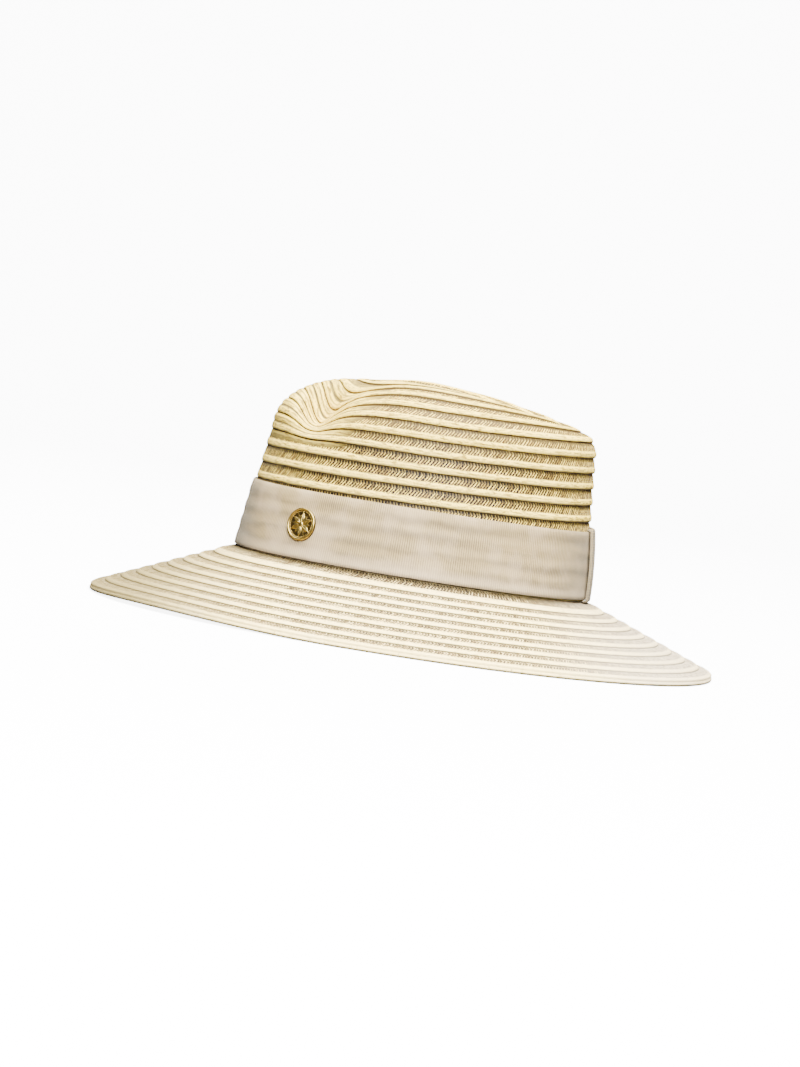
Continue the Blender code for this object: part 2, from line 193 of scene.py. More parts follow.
# The badge: beads inside its raised edge, their radius and inset, the two layers of petals, each with
# the share of a petal it is turned by, its reach and its rise, and the boss
BEADS = 48
BEAD_RADIUS = 0.30 * MM
BEAD_INSET = 0.42 * MM
PETAL_LAYERS = ((0.5, 0.80, 0.30 * MM), (0.0, 1.0, 0.62 * MM))
BOSS_RADIUS = 1.45 * MM

# The stage: half its width and the bend between floor and backdrop, then the lights with their places,
# targets and widths, and the camera
STAGE_REACH = 30.0
BEND_START = -1.6
BEND_RADIUS = 1.8
BACKDROP_TOP = 5.0
LIGHTS = (
    ("key", (2.3, 0.05, 1.15), (0, 0, 0.06), 1.0),
    ("top", (0.9, 0.25, 2.2), (0, 0, 0.0), 1.4),
    ("backdrop_light", (-0.9, 0, 2.6), (-2.6, 0, 0.7), 2.6),
)
CAMERA_TARGET = (0.0, -0.0085, 0.0557)
CAMERA_RISE = math.radians(3.35)
CAMERA_ROLL = math.radians(8.5)
CAMERA_DISTANCE = 2.5
SENSOR = 36.0
FOCAL_PIXELS = 4437
FRAME_PIXELS = 1067


def wrapped(turn):
    """The same angle between -pi and pi."""
    return (turn + math.pi) % (2 * math.pi) - math.pi


def eased(low, high, value):
    """Runs smoothly from 0 at low to 1 at high."""
    share = np.clip((value - low) / (high - low), 0, 1)
    return share * share * (3 - 2 * share)


def oval(turn, front, back, widest, half):
    """An egg outline: two half ellipses that meet where it is widest."""
    forward = np.cos(turn)
    reach = np.where(forward > 0, front + widest, back - widest)
    return np.stack([half * np.sin(turn), widest - forward * reach], axis=-1)


def foot_height(turn):
    """Height of the crown's lower edge, which falls with the cube of the way to the back."""
    return FOOT_HEIGHT - FOOT_FALL_BACK * ((1 - np.cos(turn)) / 2) ** 3


def section(name, turn):
    """Points round one of the crown's sections: an egg outline whose height leaves the crest with the
    1.8th power of the way to its front or back end."""
    front, back, widest, half, crest, rise_front, rise_crest, rise_back = SECTIONS[name]
    plan = oval(turn, front * HEAD_LENGTH, back * HEAD_LENGTH, widest * HEAD_LENGTH, half * HEAD_WIDTH)
    if name == "foot":
        height = foot_height(turn)
    else:
        past = plan[..., 1] / HEAD_LENGTH - crest
        room = np.where(past < 0, front + crest, back - crest)
        end = np.where(past < 0, rise_front, rise_back)
        share = (np.abs(past) / np.maximum(room, 1e-6)) ** 1.8
        height = FOOT_HEIGHT + (rise_crest + (end - rise_crest) * share) * CROWN_HEIGHT
    return np.concatenate([plan, height[..., None]], axis=-1)


def meridians(turn):
    """For each angle a line from the foot to the tip: straight up the wall, a quarter ellipse over the
    shoulder, then straight in plan while the height follows half a cosine wave."""
    foot, shoulder, ridge, tip = (section(name, turn) for name in SECTIONS)
    wall = np.linspace(0, 1, 4, endpoint=False)[:, None, None]
    lines = [foot + (shoulder - foot) * wall]
    angle = np.linspace(0, math.pi / 2, 40, endpoint=False)[:, None, None]
    over = ridge + (shoulder - ridge) * np.cos(angle)
    over[..., 2] = shoulder[..., 2] + (ridge[..., 2] - shoulder[..., 2]) * np.sin(angle[..., 0])
    lines.append(over)
    share = np.linspace(0, 1, 57)[:, None, None]
    dent = ridge + (tip - ridge) * share
    sink = (1 - np.cos(math.pi * share[..., 0])) / 2
    dent[..., 2] = ridge[..., 2] + (tip[..., 2] - ridge[..., 2]) * sink
    lines.append(dent)
    return np.concatenate(lines)


def pinched(points, climb):
    """Pushes both front corners of the crown in and down. The push ends as exp(-x^2.5) towards the
    front and as 1 / (1 + x^2) towards the back, and leaves a nose between the two."""
    away = points[..., 1] - PINCH_PLACE - PINCH_LEAN * (climb - PINCH_LOW)
    flare = 1 + PINCH_FLARE * (climb - PINCH_LOW) / BRAID_PITCH
    front = np.exp(-(np.abs(away / PINCH_FRONT) ** 2.5))
    back = 1 / (1 + (away / (PINCH_BACK * np.maximum(flare, 1))) ** 2)
    back *= 1 - eased(PINCH_TAIL, PINCH_TAIL_END, away)
    along = eased(PINCH_LOW, PINCH_FULL, climb) * (1 - eased(PINCH_FADE, PINCH_END, climb))
    side = eased(NOSE_WIDTH / 2, PINCH_APART / 2, np.abs(points[..., 0]))
    weight = np.where(away < 0, front, back) * along * side
    out = points.copy()
    out[..., 0] -= np.sign(points[..., 0]) * weight * PINCH_IN
    out[..., 2] -= weight * PINCH_DOWN
    return out, weight


def unit(vectors):
    """The vectors at length 1."""
    return vectors / np.maximum(np.linalg.norm(vectors, axis=-1, keepdims=True), 1e-12)


class CrownSurface:
    """The crown's middle surface, kept as a table of points and normals over the angle round the hat
    and the climb, which is the length along a meridian from the foot."""

    TURNS = 720
    STEP = 0.5 * MM
    START = -8.0 * MM

    def __init__(self):
        self.turns = np.linspace(-math.pi, math.pi, self.TURNS + 1)
        lines = meridians(self.turns)
        steps = np.linalg.norm(np.diff(lines, axis=0), axis=-1)
        lengths = np.concatenate([np.zeros((1, len(self.turns))), np.cumsum(steps, axis=0)])
        self.total = lengths[-1]
        climbs = np.arange(self.START, self.total.max() + 3 * self.STEP, self.STEP)[:, None]
        found = (lengths[None] <= climbs[:, :, None]).sum(axis=1) - 1
        found = np.clip(found, 0, len(lines) - 2)
        low = np.take_along_axis(lengths, found, 0)
        high = np.take_along_axis(lengths, found + 1, 0)
        share = ((climbs - low) / (high - low))[..., None]
        below = np.take_along_axis(lines, found[..., None], 0)
        above = np.take_along_axis(lines, found[..., None] + 1, 0)
        points, weight = pinched(below + (above - below) * share, climbs)
        around = np.gradient(points, axis=1)
        around[:, 0] = around[:, -1] = (points[:, 1] - points[:, -2]) / 2
        normals = unit(np.cross(around, np.gradient(points, axis=0)))
        level = eased(self.total - 8 * MM, self.total - 1 * MM, climbs)[..., None]
        normals = unit(normals * (1 - level) + np.array([0.0, 0.0, 1.0]) * level)
        front = eased(*CLOSED_CLIMB, climbs) * eased(*CLOSED_FRONT, points[..., 1])
        dense = np.maximum(eased(*CLOSED_PUSH, weight), front)
        self.table = np.concatenate([points, normals, dense[..., None]], axis=-1)
        first = FIRST_ROW + FOOT_HEIGHT - foot_height(self.turns) - ROW_TILT * np.cos(self.turns)
        self.rows = int(round(float((self.total - first)[:-1].mean()) / BRAID_PITCH))

    def read(self, turn, climb):
        """Points, normals and how closed the mesh is, mixed from the table's four nearest."""
        turn, climb = np.broadcast_arrays(turn, climb)
        climb = np.minimum(climb, np.interp(wrapped(turn), self.turns, self.total))
        place = (wrapped(turn) + math.pi) / (2 * math.pi) * self.TURNS
        column = np.clip(place.astype(int), 0, self.TURNS - 1)
        level = (climb - self.START) / self.STEP
        row = np.clip(level.astype(int), 0, len(self.table) - 2)
        a = (place - column)[..., None]
        b = (level - row)[..., None]
        low = self.table[row, column] * (1 - a) + self.table[row, column + 1] * a
        high = self.table[row + 1, column] * (1 - a) + self.table[row + 1, column + 1] * a
        return low * (1 - b) + high * b

    def dense(self, turn, climb):
        """1 where the pinches draw the mesh together, 0 where it is open."""
        return self.read(turn, climb)[..., 6]

    def at(self, turn, climb, offset=0.0):
        """Points that stand off the middle surface by offset."""
        mixed = self.read(turn, climb)
        return mixed[..., :3] + unit(mixed[..., 3:6]) * np.broadcast_to(offset, mixed.shape[:-1])[..., None]

    def relief(self, turn):
        """How much of its relief the braid keeps: the front was pressed flatter on the block."""
        return 1 - FRONT_LOSS * eased(0.75, 1.0, np.cos(turn))

    def row_edge(self, turn, row):
        """The climb of a row's lower edge. Rows lie level up the wall and share out what is left of the
        way to the tip above it."""
        total = np.interp(wrapped(turn), self.turns, self.total)
        first = FIRST_ROW + FOOT_HEIGHT - foot_height(turn) - ROW_TILT * np.cos(turn)
        spare = total - first - self.rows * BRAID_PITCH
        k = row - 1
        edge = first + k * BRAID_PITCH + spare * eased(int(0.25 * self.rows), self.rows, k)
        return np.where(np.asarray(row) <= 0, 0.0, edge)

    def on_row(self, turn, row, share):
        """The climb at this share of the way up a row."""
        low = self.row_edge(turn, row)
        return low + (self.row_edge(turn, row + 1) - low) * share


def brim_plan(turn, share):
    """Plan of the brim's top: from the crown's foot, at 0, to the rim, at 1."""
    inner = section("foot", turn)[..., :2]
    half_length = BRIM_LENGTH / 2
    outer = oval(turn, half_length, half_length, BRIM_WIDEST * BRIM_LENGTH, BRIM_WIDTH / 2)
    return inner + (outer - inner) * np.asarray(share)[..., None]


def brim_out(level, rows):
    """How far out a place on the brim is, from its level: 0 at the foot, then one more for each row."""
    first = FIRST_BRIM_ROW / (rows - 1 + FIRST_BRIM_ROW)
    return np.interp(level, (0, 1, rows), (0, first, 1))


def brim_at(turn, share, offset=0.0):
    """The brim's top: a straight cone from the rim, rounded up into the crown's foot, with a wave
    along its edge that grows with the square of the way out. offset is straight up."""
    turn, share = np.broadcast_arrays(turn, share)
    plan = brim_plan(turn, share)
    cone = foot_height(turn) - CONE_START
    away = np.linalg.norm(plan - brim_plan(turn, np.zeros_like(share)), axis=-1)
    height = RIM_THICKNESS + (cone - RIM_THICKNESS) * (1 - share)
    height = height + (CONE_START - GAP) * np.clip(1 - away / ROUNDING, 0, 1) ** 2
    bend = np.abs(wrapped(turn))
    wave = np.where(bend < RIM_LIFT_END, np.sin(math.pi * bend / RIM_LIFT_END) ** 2, 0.0)
    height = height + RIM_LIFT * wave * share**2 + offset
    return np.concatenate([plan, height[..., None]], axis=-1)


def band_low(turn):
    """The climb of the ribbon's lower edge, which rises with the cube of the way to the back."""
    return BAND_RISE_BACK * ((1 - np.cos(turn)) / 2) ** 3


def smooth_noise(turn, height, seed, waves=9):
    """A sum of sine waves round the hat with seeded phases, between about -1 and 1."""
    pick = np.random.default_rng(seed)
    total = np.zeros(np.broadcast(turn, height).shape)
    for wave in range(1, waves + 1):
        phase, lift = pick.uniform(0, 2 * math.pi), pick.uniform(-120, 120)
        total = total + np.sin(wave * 2 * turn + phase + lift * height) / waves**0.5
    return total


def ring_lengths(points):
    """How far along a closed ring each point lies, with the full length at the end."""
    closed = np.concatenate([points, points[:1]])
    return np.concatenate([[0.0], np.cumsum(np.linalg.norm(np.diff(closed, axis=0), axis=-1))])


def grid_faces(rings, columns, wrap_columns=True, wrap_rings=False):
    """Quads of a grid of rings, with the unwrapped ring and column of each corner."""
    k = np.arange(rings if wrap_rings else rings - 1)[:, None]
    j = np.arange(columns if wrap_columns else columns - 1)[None, :]
    ring = np.stack([k + 0 * j, k + 0 * j, k + 1 + 0 * j, k + 1 + 0 * j], axis=-1)
    column = np.stack([j + 0 * k, j + 1 + 0 * k, j + 1 + 0 * k, j + 0 * k], axis=-1)
    return ring.reshape(-1, 4), column.reshape(-1, 4)


def mesh_piece(name, points, faces, uv, materials, slots=None, sharp=180.0, dense=None):
    """A mesh object from arrays: points, quads of indices, one UV pair a corner, and a material slot a
    face. The quads whose corners repeat are made triangles."""
    faces = np.asarray(faces)
    keep = np.ones(faces.shape, bool)
    keep[:, 1:] = faces[:, 1:] != faces[:, :-1]
    keep[:, 0] = faces[:, 0] != faces[:, -1]
    counts = keep.sum(axis=1)
    whole = counts >= 3
    keep &= whole[:, None]
    corners = faces[keep]
    counts = counts[whole]
    mesh = bpy.data.meshes.new(name)
    mesh.vertices.add(len(points))
    mesh.vertices.foreach_set("co", np.asarray(points, np.float32).ravel())
    mesh.loops.add(len(corners))
    mesh.loops.foreach_set("vertex_index", corners.astype(np.int32))
    mesh.polygons.add(len(counts))
    starts = np.concatenate([[0], np.cumsum(counts)[:-1]])
    mesh.polygons.foreach_set("loop_start", starts.astype(np.int32))
    if slots is not None:
        mesh.polygons.foreach_set("material_index", np.asarray(slots)[whole].astype(np.int32))
    layer = mesh.uv_layers.new(name="UVMap")
    layer.uv.foreach_set("vector", np.asarray(uv, np.float32)[keep].ravel())
    if dense is not None:
        field = mesh.attributes.new("dense", "FLOAT", "POINT")
        field.data.foreach_set("value", np.asarray(dense, np.float32).ravel())
    mesh.update(calc_edges=True)
    mesh.validate()
    mesh.shade_smooth()
    if sharp < 180:
        mesh.set_sharp_from_angle(angle=math.radians(sharp))
    for made in materials:
        mesh.materials.append(made)
    piece = bpy.data.objects.new(name, mesh)
    bpy.context.scene.collection.objects.link(piece)
    return piece


class Maths:
    """A number on its way through a material. An expression on it adds the Math nodes."""

    def __init__(self, finish, socket):
        self.finish = finish
        self.socket = socket

    def step(self, operation, *others):
        """One Math node with this number first."""
        inputs = dict(enumerate((self, *others)))
        return self.finish.number("ShaderNodeMath", {"operation": operation}, inputs)

    def swapped(self, operation, other):
        """One Math node with this number second."""
        return self.finish.number("ShaderNodeMath", {"operation": operation}, {0: other, 1: self})

    def __add__(self, other):
        return self.step("ADD", other)

    def __sub__(self, other):
        return self.step("SUBTRACT", other)

    def __mul__(self, other):
        return self.step("MULTIPLY", other)

    def __pow__(self, other):
        return self.step("POWER", other)

    def __radd__(self, other):
        return self.swapped("ADD", other)

    def __rsub__(self, other):
        return self.swapped("SUBTRACT", other)

    def __rmul__(self, other):
        return self.swapped("MULTIPLY", other)

    def fract(self):
        return self.step("FRACT")

    def sine(self):
        return self.step("SINE")

    def size(self):
        return self.step("ABSOLUTE")

    def top(self, other):
        return self.step("MAXIMUM", other)

    def between(self, low, high):
        """Runs smoothly from 0 at low to 1 at high, whichever is larger."""
        if low > high:
            return 1 - self.between(high, low)
        settings = {"interpolation_type": "SMOOTHSTEP"}
        inputs = {"Value": self, "From Min": low, "From Max": high}
        return self.finish.number("ShaderNodeMapRange", settings, inputs)


class Finish:
    """One material, built node by node."""

    def __init__(self, name, roughness=0.6, metallic=0.0, **constants):
        self.material = bpy.data.materials.new(name)
        self.material.use_nodes = True
        self.tree = self.material.node_tree
        self.shader = self.tree.nodes["Principled BSDF"]
        self.shader.inputs["Roughness"].default_value = roughness
        self.shader.inputs["Metallic"].default_value = metallic
        self.shader.inputs["Specular IOR Level"].default_value = 0.15 if metallic == 0 else 0.5
        for key, value in constants.items():
            self.shader.inputs[key.replace("_", " ")].default_value = value

    def node(self, kind, settings=None, inputs=None):
        """A node of this type: its settings are set first, then its sockets take values or links."""
        made = self.tree.nodes.new(kind)
        for key, value in (settings or {}).items():
            setattr(made, key, value)
        for key, value in (inputs or {}).items():
            self.join(value, made.inputs[key])
        return made

    def join(self, value, socket):
        """Links a socket or a number, or sets the constant."""
        if isinstance(value, Maths):
            self.tree.links.new(value.socket, socket)
        elif isinstance(value, bpy.types.NodeSocket):
            self.tree.links.new(value, socket)
        else:
            socket.default_value = value

    def number(self, kind, settings, inputs, output=0):
        """A node's number, ready for an expression."""
        return Maths(self, self.node(kind, settings, inputs).outputs[output])

    def uv(self):
        """The two coordinates of the piece's UV map."""
        place = self.node("ShaderNodeUVMap", {"uv_map": "UVMap"})
        parts = self.node("ShaderNodeSeparateXYZ", inputs={0: place.outputs[0]})
        return Maths(self, parts.outputs[0]), Maths(self, parts.outputs[1])

    def field(self, name):
        """A number that the piece holds at each point."""
        return self.number("ShaderNodeAttribute", {"attribute_name": name}, None, 2)

    def place(self):
        """The piece's own coordinates."""
        return self.node("ShaderNodeTexCoord").outputs["Object"]

    def noise(self, scale, vector=None, detail=2.0, roughness=0.5):
        """Noise about 0.5 over the piece's own coordinates, or over a vector."""
        inputs = {"Vector": vector or self.place(), "Scale": scale, "Detail": detail}
        return self.number("ShaderNodeTexNoise", None, {**inputs, "Roughness": roughness})

    def vector(self, x, y, z=0.0):
        """Three numbers as a vector."""
        return self.node("ShaderNodeCombineXYZ", inputs={0: x, 1: y, 2: z}).outputs[0]

    def mix(self, share, low, high, blend="MIX"):
        """A colour between two colours."""
        low, high = ((*c, 1.0) if isinstance(c, tuple) else c for c in (low, high))
        settings = {"data_type": "RGBA", "blend_type": blend}
        return self.node("ShaderNodeMix", settings, {0: share, 6: low, 7: high}).outputs[2]

    def bump(self, height, distance, strength=1.0):
        """Feeds the shader's normal from a height in metres at 1."""
        inputs = {"Height": height, "Distance": distance, "Strength": strength}
        made = self.node("ShaderNodeBump", None, inputs)
        self.join(made.outputs[0], self.shader.inputs["Normal"])

    def feed(self, **values):
        """Joins values to the shader's sockets."""
        for key, value in values.items():
            self.join(value, self.shader.inputs[key.replace("_", " ")])
        return self.material


def rgb(value):
    """A property's colour as plain numbers."""
    return tuple(float(part) for part in value)


def scaled(colour, *shares):
    """A colour times one share, or times a share for each channel."""
    shares = shares * 3 if len(shares) == 1 else shares
    return tuple(float(part) * share for part, share in zip(colour, shares))


def colour_property(name, description, default):
    """A colour that a user may change."""
    kinds = {"subtype": "COLOR", "size": 3, "min": 0.0, "max": 1.0}
    return bpy.props.FloatVectorProperty(name=name, description=description, default=default, **kinds)


def length_property(name, description, default):
    """A length that a user may change."""
    kinds = {"unit": "LENGTH", "subtype": "DISTANCE", "min": 0.0, "precision": 5}
    return bpy.props.FloatProperty(name=name, description=description, default=default, **kinds)


def number_property(name, description, default, kind=bpy.props.FloatProperty, **more):
    """A count, a strength or a power that a user may change."""
    return kind(name=name, description=description, default=default, **more)


class FedoraStraw(bpy.types.PropertyGroup):
    """Sizes and colours of the straw braid."""

    strand_period: length_property("Strand period", "Distance between the mesh's strands", 1.78 * MM)
    strand_width: length_property("Strand width", "Width of an upper strand", 0.58 * MM)
    strand_thickness: length_property("Strand thickness", "Thickness of a strand", 0.20 * MM)
    brim_thickness: length_property("Brim strand thickness", "Thickness of a strand on the brim", 0.10 * MM)
    under_width: length_property("Under strand width", "Width of a strand of the lower layer", 0.30 * MM)
    brim_strand_width: length_property("Brim strand width", "Width of an upper strand there", 0.68 * MM)
    brim_under_width: length_property("Brim under width", "Width of a lower strand on the brim", 0.40 * MM)
    under_depth: length_property("Under layer depth", "How far the lower layer lies below", 0.09 * MM)
    brim_rows: number_property("Brim rows", "Rows of braid on the brim", 9, bpy.props.IntProperty)
    ridge: colour_property("Ridge", "Dense lower edge of a row on the crown", (0.95, 0.68, 0.10))
    strand: colour_property("Strand", "Strands of the open mesh", (0.93, 0.65, 0.105))
    # The hole colour is near black: painted shade for the hat's dark inside, seen through the open mesh
    hole_shade: colour_property("Hole", "What shows through the open mesh", (0.005, 0.003, 0.001))
    # The valley colour is the painted shadow line under each row's lip; the strands' painted shade, their
    # random dark tones and clumps, and the inside's seams use it too
    valley: colour_property("Valley", "Line under a row's edge", (0.055, 0.038, 0.013))
    inside: colour_property("Inside", "Inside of the crown and under the brim", (0.60, 0.42, 0.20))
    brim: colour_property("Brim", "Top of the brim", (0.98, 0.75, 0.28))
    brim_strand: colour_property("Brim strand", "Strands of the brim's mesh", (0.96, 0.72, 0.28))
    # The brim's bed and valley colours are painted shade: what shows through its mesh, and the line under
    # each row's edge
    brim_bed_shade: colour_property("Brim bed", "What shows through the brim's close mesh", (0.014, 0.010, 0.004))
    brim_valley_shade: colour_property("Brim valley", "Line under a row's edge on the brim", (0.12, 0.095, 0.04))
    rim: colour_property("Rim", "Folded edge of the brim", (0.26, 0.21, 0.10))


class FedoraRibbon(bpy.types.PropertyGroup):
    """Sizes and colours of the band and its tab."""

    rib_pitch: length_property("Rib pitch", "Distance between the ribbon's ribs", 1.26 * MM)
    rib_relief: length_property("Rib relief", "How far a rib stands out", 0.13 * MM)
    ripple: length_property("Ripple", "How far the braid shows through the ribbon", 0.2 * MM)
    cloth: colour_property("Cloth", "Ribbon", (0.325, 0.234, 0.104))
    # The groove colour is painted shade between the ribs
    groove: colour_property("Groove", "Between the ribs", (0.060, 0.045, 0.026))
    edge: colour_property("Edge", "Selvage of the tab", (0.36, 0.28, 0.13))
    stitch: colour_property("Stitch", "Stitches of the tab", (0.10, 0.07, 0.02))


class FedoraBadge(bpy.types.PropertyGroup):
    """Sizes and colours of the badge."""

    diameter: length_property("Diameter", "Across the badge's raised edge", 18.4 * MM)
    edge: length_property("Edge", "Width of the raised edge", 1.5 * MM)
    height: length_property("Height", "Height of the raised edge", 1.6 * MM)
    petals: number_property("Petals", "Petals of the rosette", 6, bpy.props.IntProperty)
    petal_length: length_property("Petal length", "From the boss to a petal's point", 5.0 * MM)
    petal_breadth: length_property("Petal breadth", "Across a petal", 2.9 * MM)
    metal: colour_property("Metal", "Worn high parts", (0.37, 0.26, 0.07))
    recess: colour_property("Recess", "Dark ground between the petals", (0.035, 0.022, 0.006))


class FedoraStage(bpy.types.PropertyGroup):
    """The floor and the lights."""

    floor: colour_property("Floor", "Floor and backdrop", (0.90, 0.90, 0.90))
    glow: number_property("Glow", "Light that the floor gives off", 6.0)
    key_power: number_property("Key", "Light from the badge's side", 290.0, unit="POWER")
    top_power: number_property("Top", "Light from above", 325.0, unit="POWER")
    backdrop_power: number_property("Backdrop", "Light on the backdrop", 420.0, unit="POWER")
    sky: number_property("Sky", "Strength of the even light", 0.22)


def along_rows(ring, count):
    """For a closed ring of points, how many strand periods along it each column lies."""
    lengths = ring_lengths(ring)
    return lengths / lengths[-1] * count


def strand_count(ring, straw):
    """How many strands a closed ring of points holds."""
    return max(round(ring_lengths(ring)[-1] / straw.strand_period), SHORTEST_RING)


def crown_shell(surface, straw):
    """The crown's wall: every row's section carried round the hat. Its points stand off the middle
    surface by the section table, less under the band and at the front, with a fold of the mesh as half
    a sine wave in the pinches, and the inside follows at the wall's depth."""
    columns = CROWN_COLUMNS
    turn = np.arange(columns) * 2 * math.pi / columns
    shares = np.array([share for share, _ in CROWN_ROW])
    heights = np.array([height for _, height in CROWN_ROW]) * MM
    outer, spans, levels, dense = [], [], [], []
    for row in range(surface.rows + 1):
        middle = surface.at(turn, surface.on_row(turn, row, 0.6))
        span = along_rows(middle, strand_count(middle, straw))
        for share, height in zip(shares, heights):
            if row == 0 and share < 0:
                continue
            climb = surface.on_row(turn, row, share)
            past_band = eased(BAND_WIDTH, BAND_WIDTH + 2.5 * MM, climb - band_low(turn))
            bared = UNDER_BAND + (1 - UNDER_BAND) * past_band
            closed = surface.dense(turn, climb)
            fold = math.sin(math.pi * min(max((share - RIDGE_END) / (1 - RIDGE_END), 0), 1))
            fill = closed * fold * FOLD_RISE if share >= RIDGE_END else 0.0
            height_here = height * (bared if height > 0 else 1.0) * surface.relief(turn)
            outer.append(surface.at(turn, climb, height_here + fill))
            dense.append(closed)
            spans.append(span)
            levels.append(row + share)
    outer.append(surface.at(turn, surface.on_row(turn, surface.rows + 1, 0.0), 0.0))
    dense.append(dense[-1] * 0)
    spans.append(spans[-1])
    levels.append(surface.rows + 0.999)
    inner = []
    for row in range(surface.rows + 1, -1, -1):
        for share, depth in ((0.5, 0.0), (0.0, 0.35 * MM)):
            if row > surface.rows and share > 0:
                continue
            inner.append(surface.at(turn, surface.on_row(turn, row, share), depth - CROWN_WALL))
            spans.append(span * 4)
            levels.append(row + share)
    rings = outer + inner
    points = np.concatenate(rings)
    ring, column = grid_faces(len(rings), columns, True, True)
    index = ring % len(rings) * columns + column % columns
    mirrored = np.minimum(column % columns, -column % columns)
    for tip in (len(outer) - 1, len(outer)):
        index = np.where(ring == tip, tip * columns + mirrored, index)
    keep = (ring[:, 0] != len(outer) - 1) | (ring[:, 2] != len(outer))
    spans, levels = np.array(spans), np.array(levels)
    at = np.minimum(ring, len(rings) - 1)
    uv = np.stack([spans[at, column], levels[at]], axis=-1)
    inside = (ring[:, 0] >= len(outer) - 1).astype(int)
    materials = (crown_straw_finish(straw), inside_finish(straw))
    dense = np.concatenate([*dense, np.zeros(columns * len(inner))])
    return mesh_piece("crown_braid", points, index[keep], uv[keep], materials, inside[keep], dense=dense)


def strand_pieces(name, place, rows, table, straw, lean, widths, thick, sink, material, seed,
                  shades=None, thin=0.72):
    """Strands of the open mesh as flat bars of four sides, which start at the dense ridge and lean
    along the row as the table says, times lean. place(turn, row, share) gives the points and normals
    of the surface that carries them and how much of the relief it keeps. widths has one width a row,
    thin is the thinnest strand's share of it, sink is how far the layer lies below the table's heights,
    and shades says how much sooner a row's strands take their painted shade towards their ends."""
    shares, heights, shift = (np.array(part) for part in zip(*table))
    heights, shift = heights * MM, shift * lean
    section_across, section_up = np.array(STRAND_SECTION).T
    pick = np.random.default_rng(seed)
    all_points, all_tones, all_shades = [], [], []
    side = np.array([0.0, 2.0, 0.0, 2.0])
    fine = np.linspace(0, 2 * math.pi, 1441)[:-1]
    for row, width, shade in zip(rows, widths, shades or [0.0] * len(widths)):
        middle, _, _ = place(fine, row, 0.66)
        lengths = ring_lengths(middle)
        count = strand_count(middle, straw)
        stray = pick.uniform(-STRAND_STRAY, STRAND_STRAY, count)
        start = (np.arange(count) + 0.5 * (row % 2) + stray)[:, None]
        along = (start + shift[None, :]) / count % 1.0
        turn = np.interp(along * lengths[-1], lengths, np.append(fine, 2 * math.pi))
        points, normals, relief = place(turn, row, np.broadcast_to(shares, turn.shape))
        lift = heights * relief - sink + pick.uniform(-STRAND_LIFT, STRAND_LIFT, (count, 1))
        points = points + normals * lift[..., None]
        forward = unit(np.gradient(points, axis=1))
        aside = unit(np.cross(forward, normals))
        breadth = width * pick.uniform(thin, WIDEST_STRAND, (count, 1, 1, 1))
        across = aside[:, :, None, :] * section_across[None, None, :, None] * breadth
        up = normals[:, :, None, :] * section_up[None, None, :, None] * thick
        all_points.append((points[:, :, None, :] + across + up).reshape(-1, 3))
        all_tones.append(pick.uniform(0, 1, count))
        all_shades.append(np.full(count, shade))
    points = np.concatenate(all_points)
    tones = np.concatenate(all_tones)
    steps = len(shares)
    k = np.arange(steps - 1)[:, None]
    j = np.arange(4)[None, :]
    sides = np.stack([k * 4 + j, k * 4 + (j + 1) % 4, (k + 1) * 4 + (j + 1) % 4, (k + 1) * 4 + j], axis=-1)
    ends = np.array([[3, 2, 1, 0], [(steps - 1) * 4 + c for c in range(4)]])
    one = np.concatenate([sides.reshape(-1, 4), ends])
    base = np.arange(len(tones))[:, None, None] * steps * 4
    faces = (one[None] + base).reshape(-1, 4)
    shares_of = np.repeat(shares, 4)
    # Side faces and end caps get 2 added to their first UV coordinate, where the finish paints shade on
    # them
    dark = np.append(np.tile(side, steps - 1), (2.0, 2.0))[None, :, None]
    uv = np.stack([np.broadcast_to(tones[:, None, None] + dark, (len(tones), *one.shape)),
                   shares_of[one][None] + np.concatenate(all_shades)[:, None, None]], axis=-1)
    return mesh_piece(name, points, faces, uv.reshape(-1, 4, 2), (material,), sharp=30)


def fibres(finish, u, v, along, across):
    """Fine fibres that run along the row: noise stretched along it."""
    return finish.noise(1.0, finish.vector(u * along, v * across), 3.0, 0.6)


def straw_lines(finish, u, v, along):
    """Lines along a row: a sine over its height, bent by fibres."""
    bent = fibres(finish, u, v, along, 2.0) * 5
    return (v * (LINES_IN_ROW * 2 * math.pi) + bent).sine() * 0.5 + 0.5


def paint_end_light_and_shade(made, colour, ends):
    """Tints a piece from one place along the hat to another, as the table of its ends says: painted shade,
    and on the brim's back end a paler painted light.
    """
    _, along, _ = made.node("ShaderNodeSeparateXYZ", inputs={0: made.place()}).outputs
    for start, end, share, tint in ends:
        colour = made.mix(Maths(made, along).between(start, end) * share, colour, tint)
    return colour


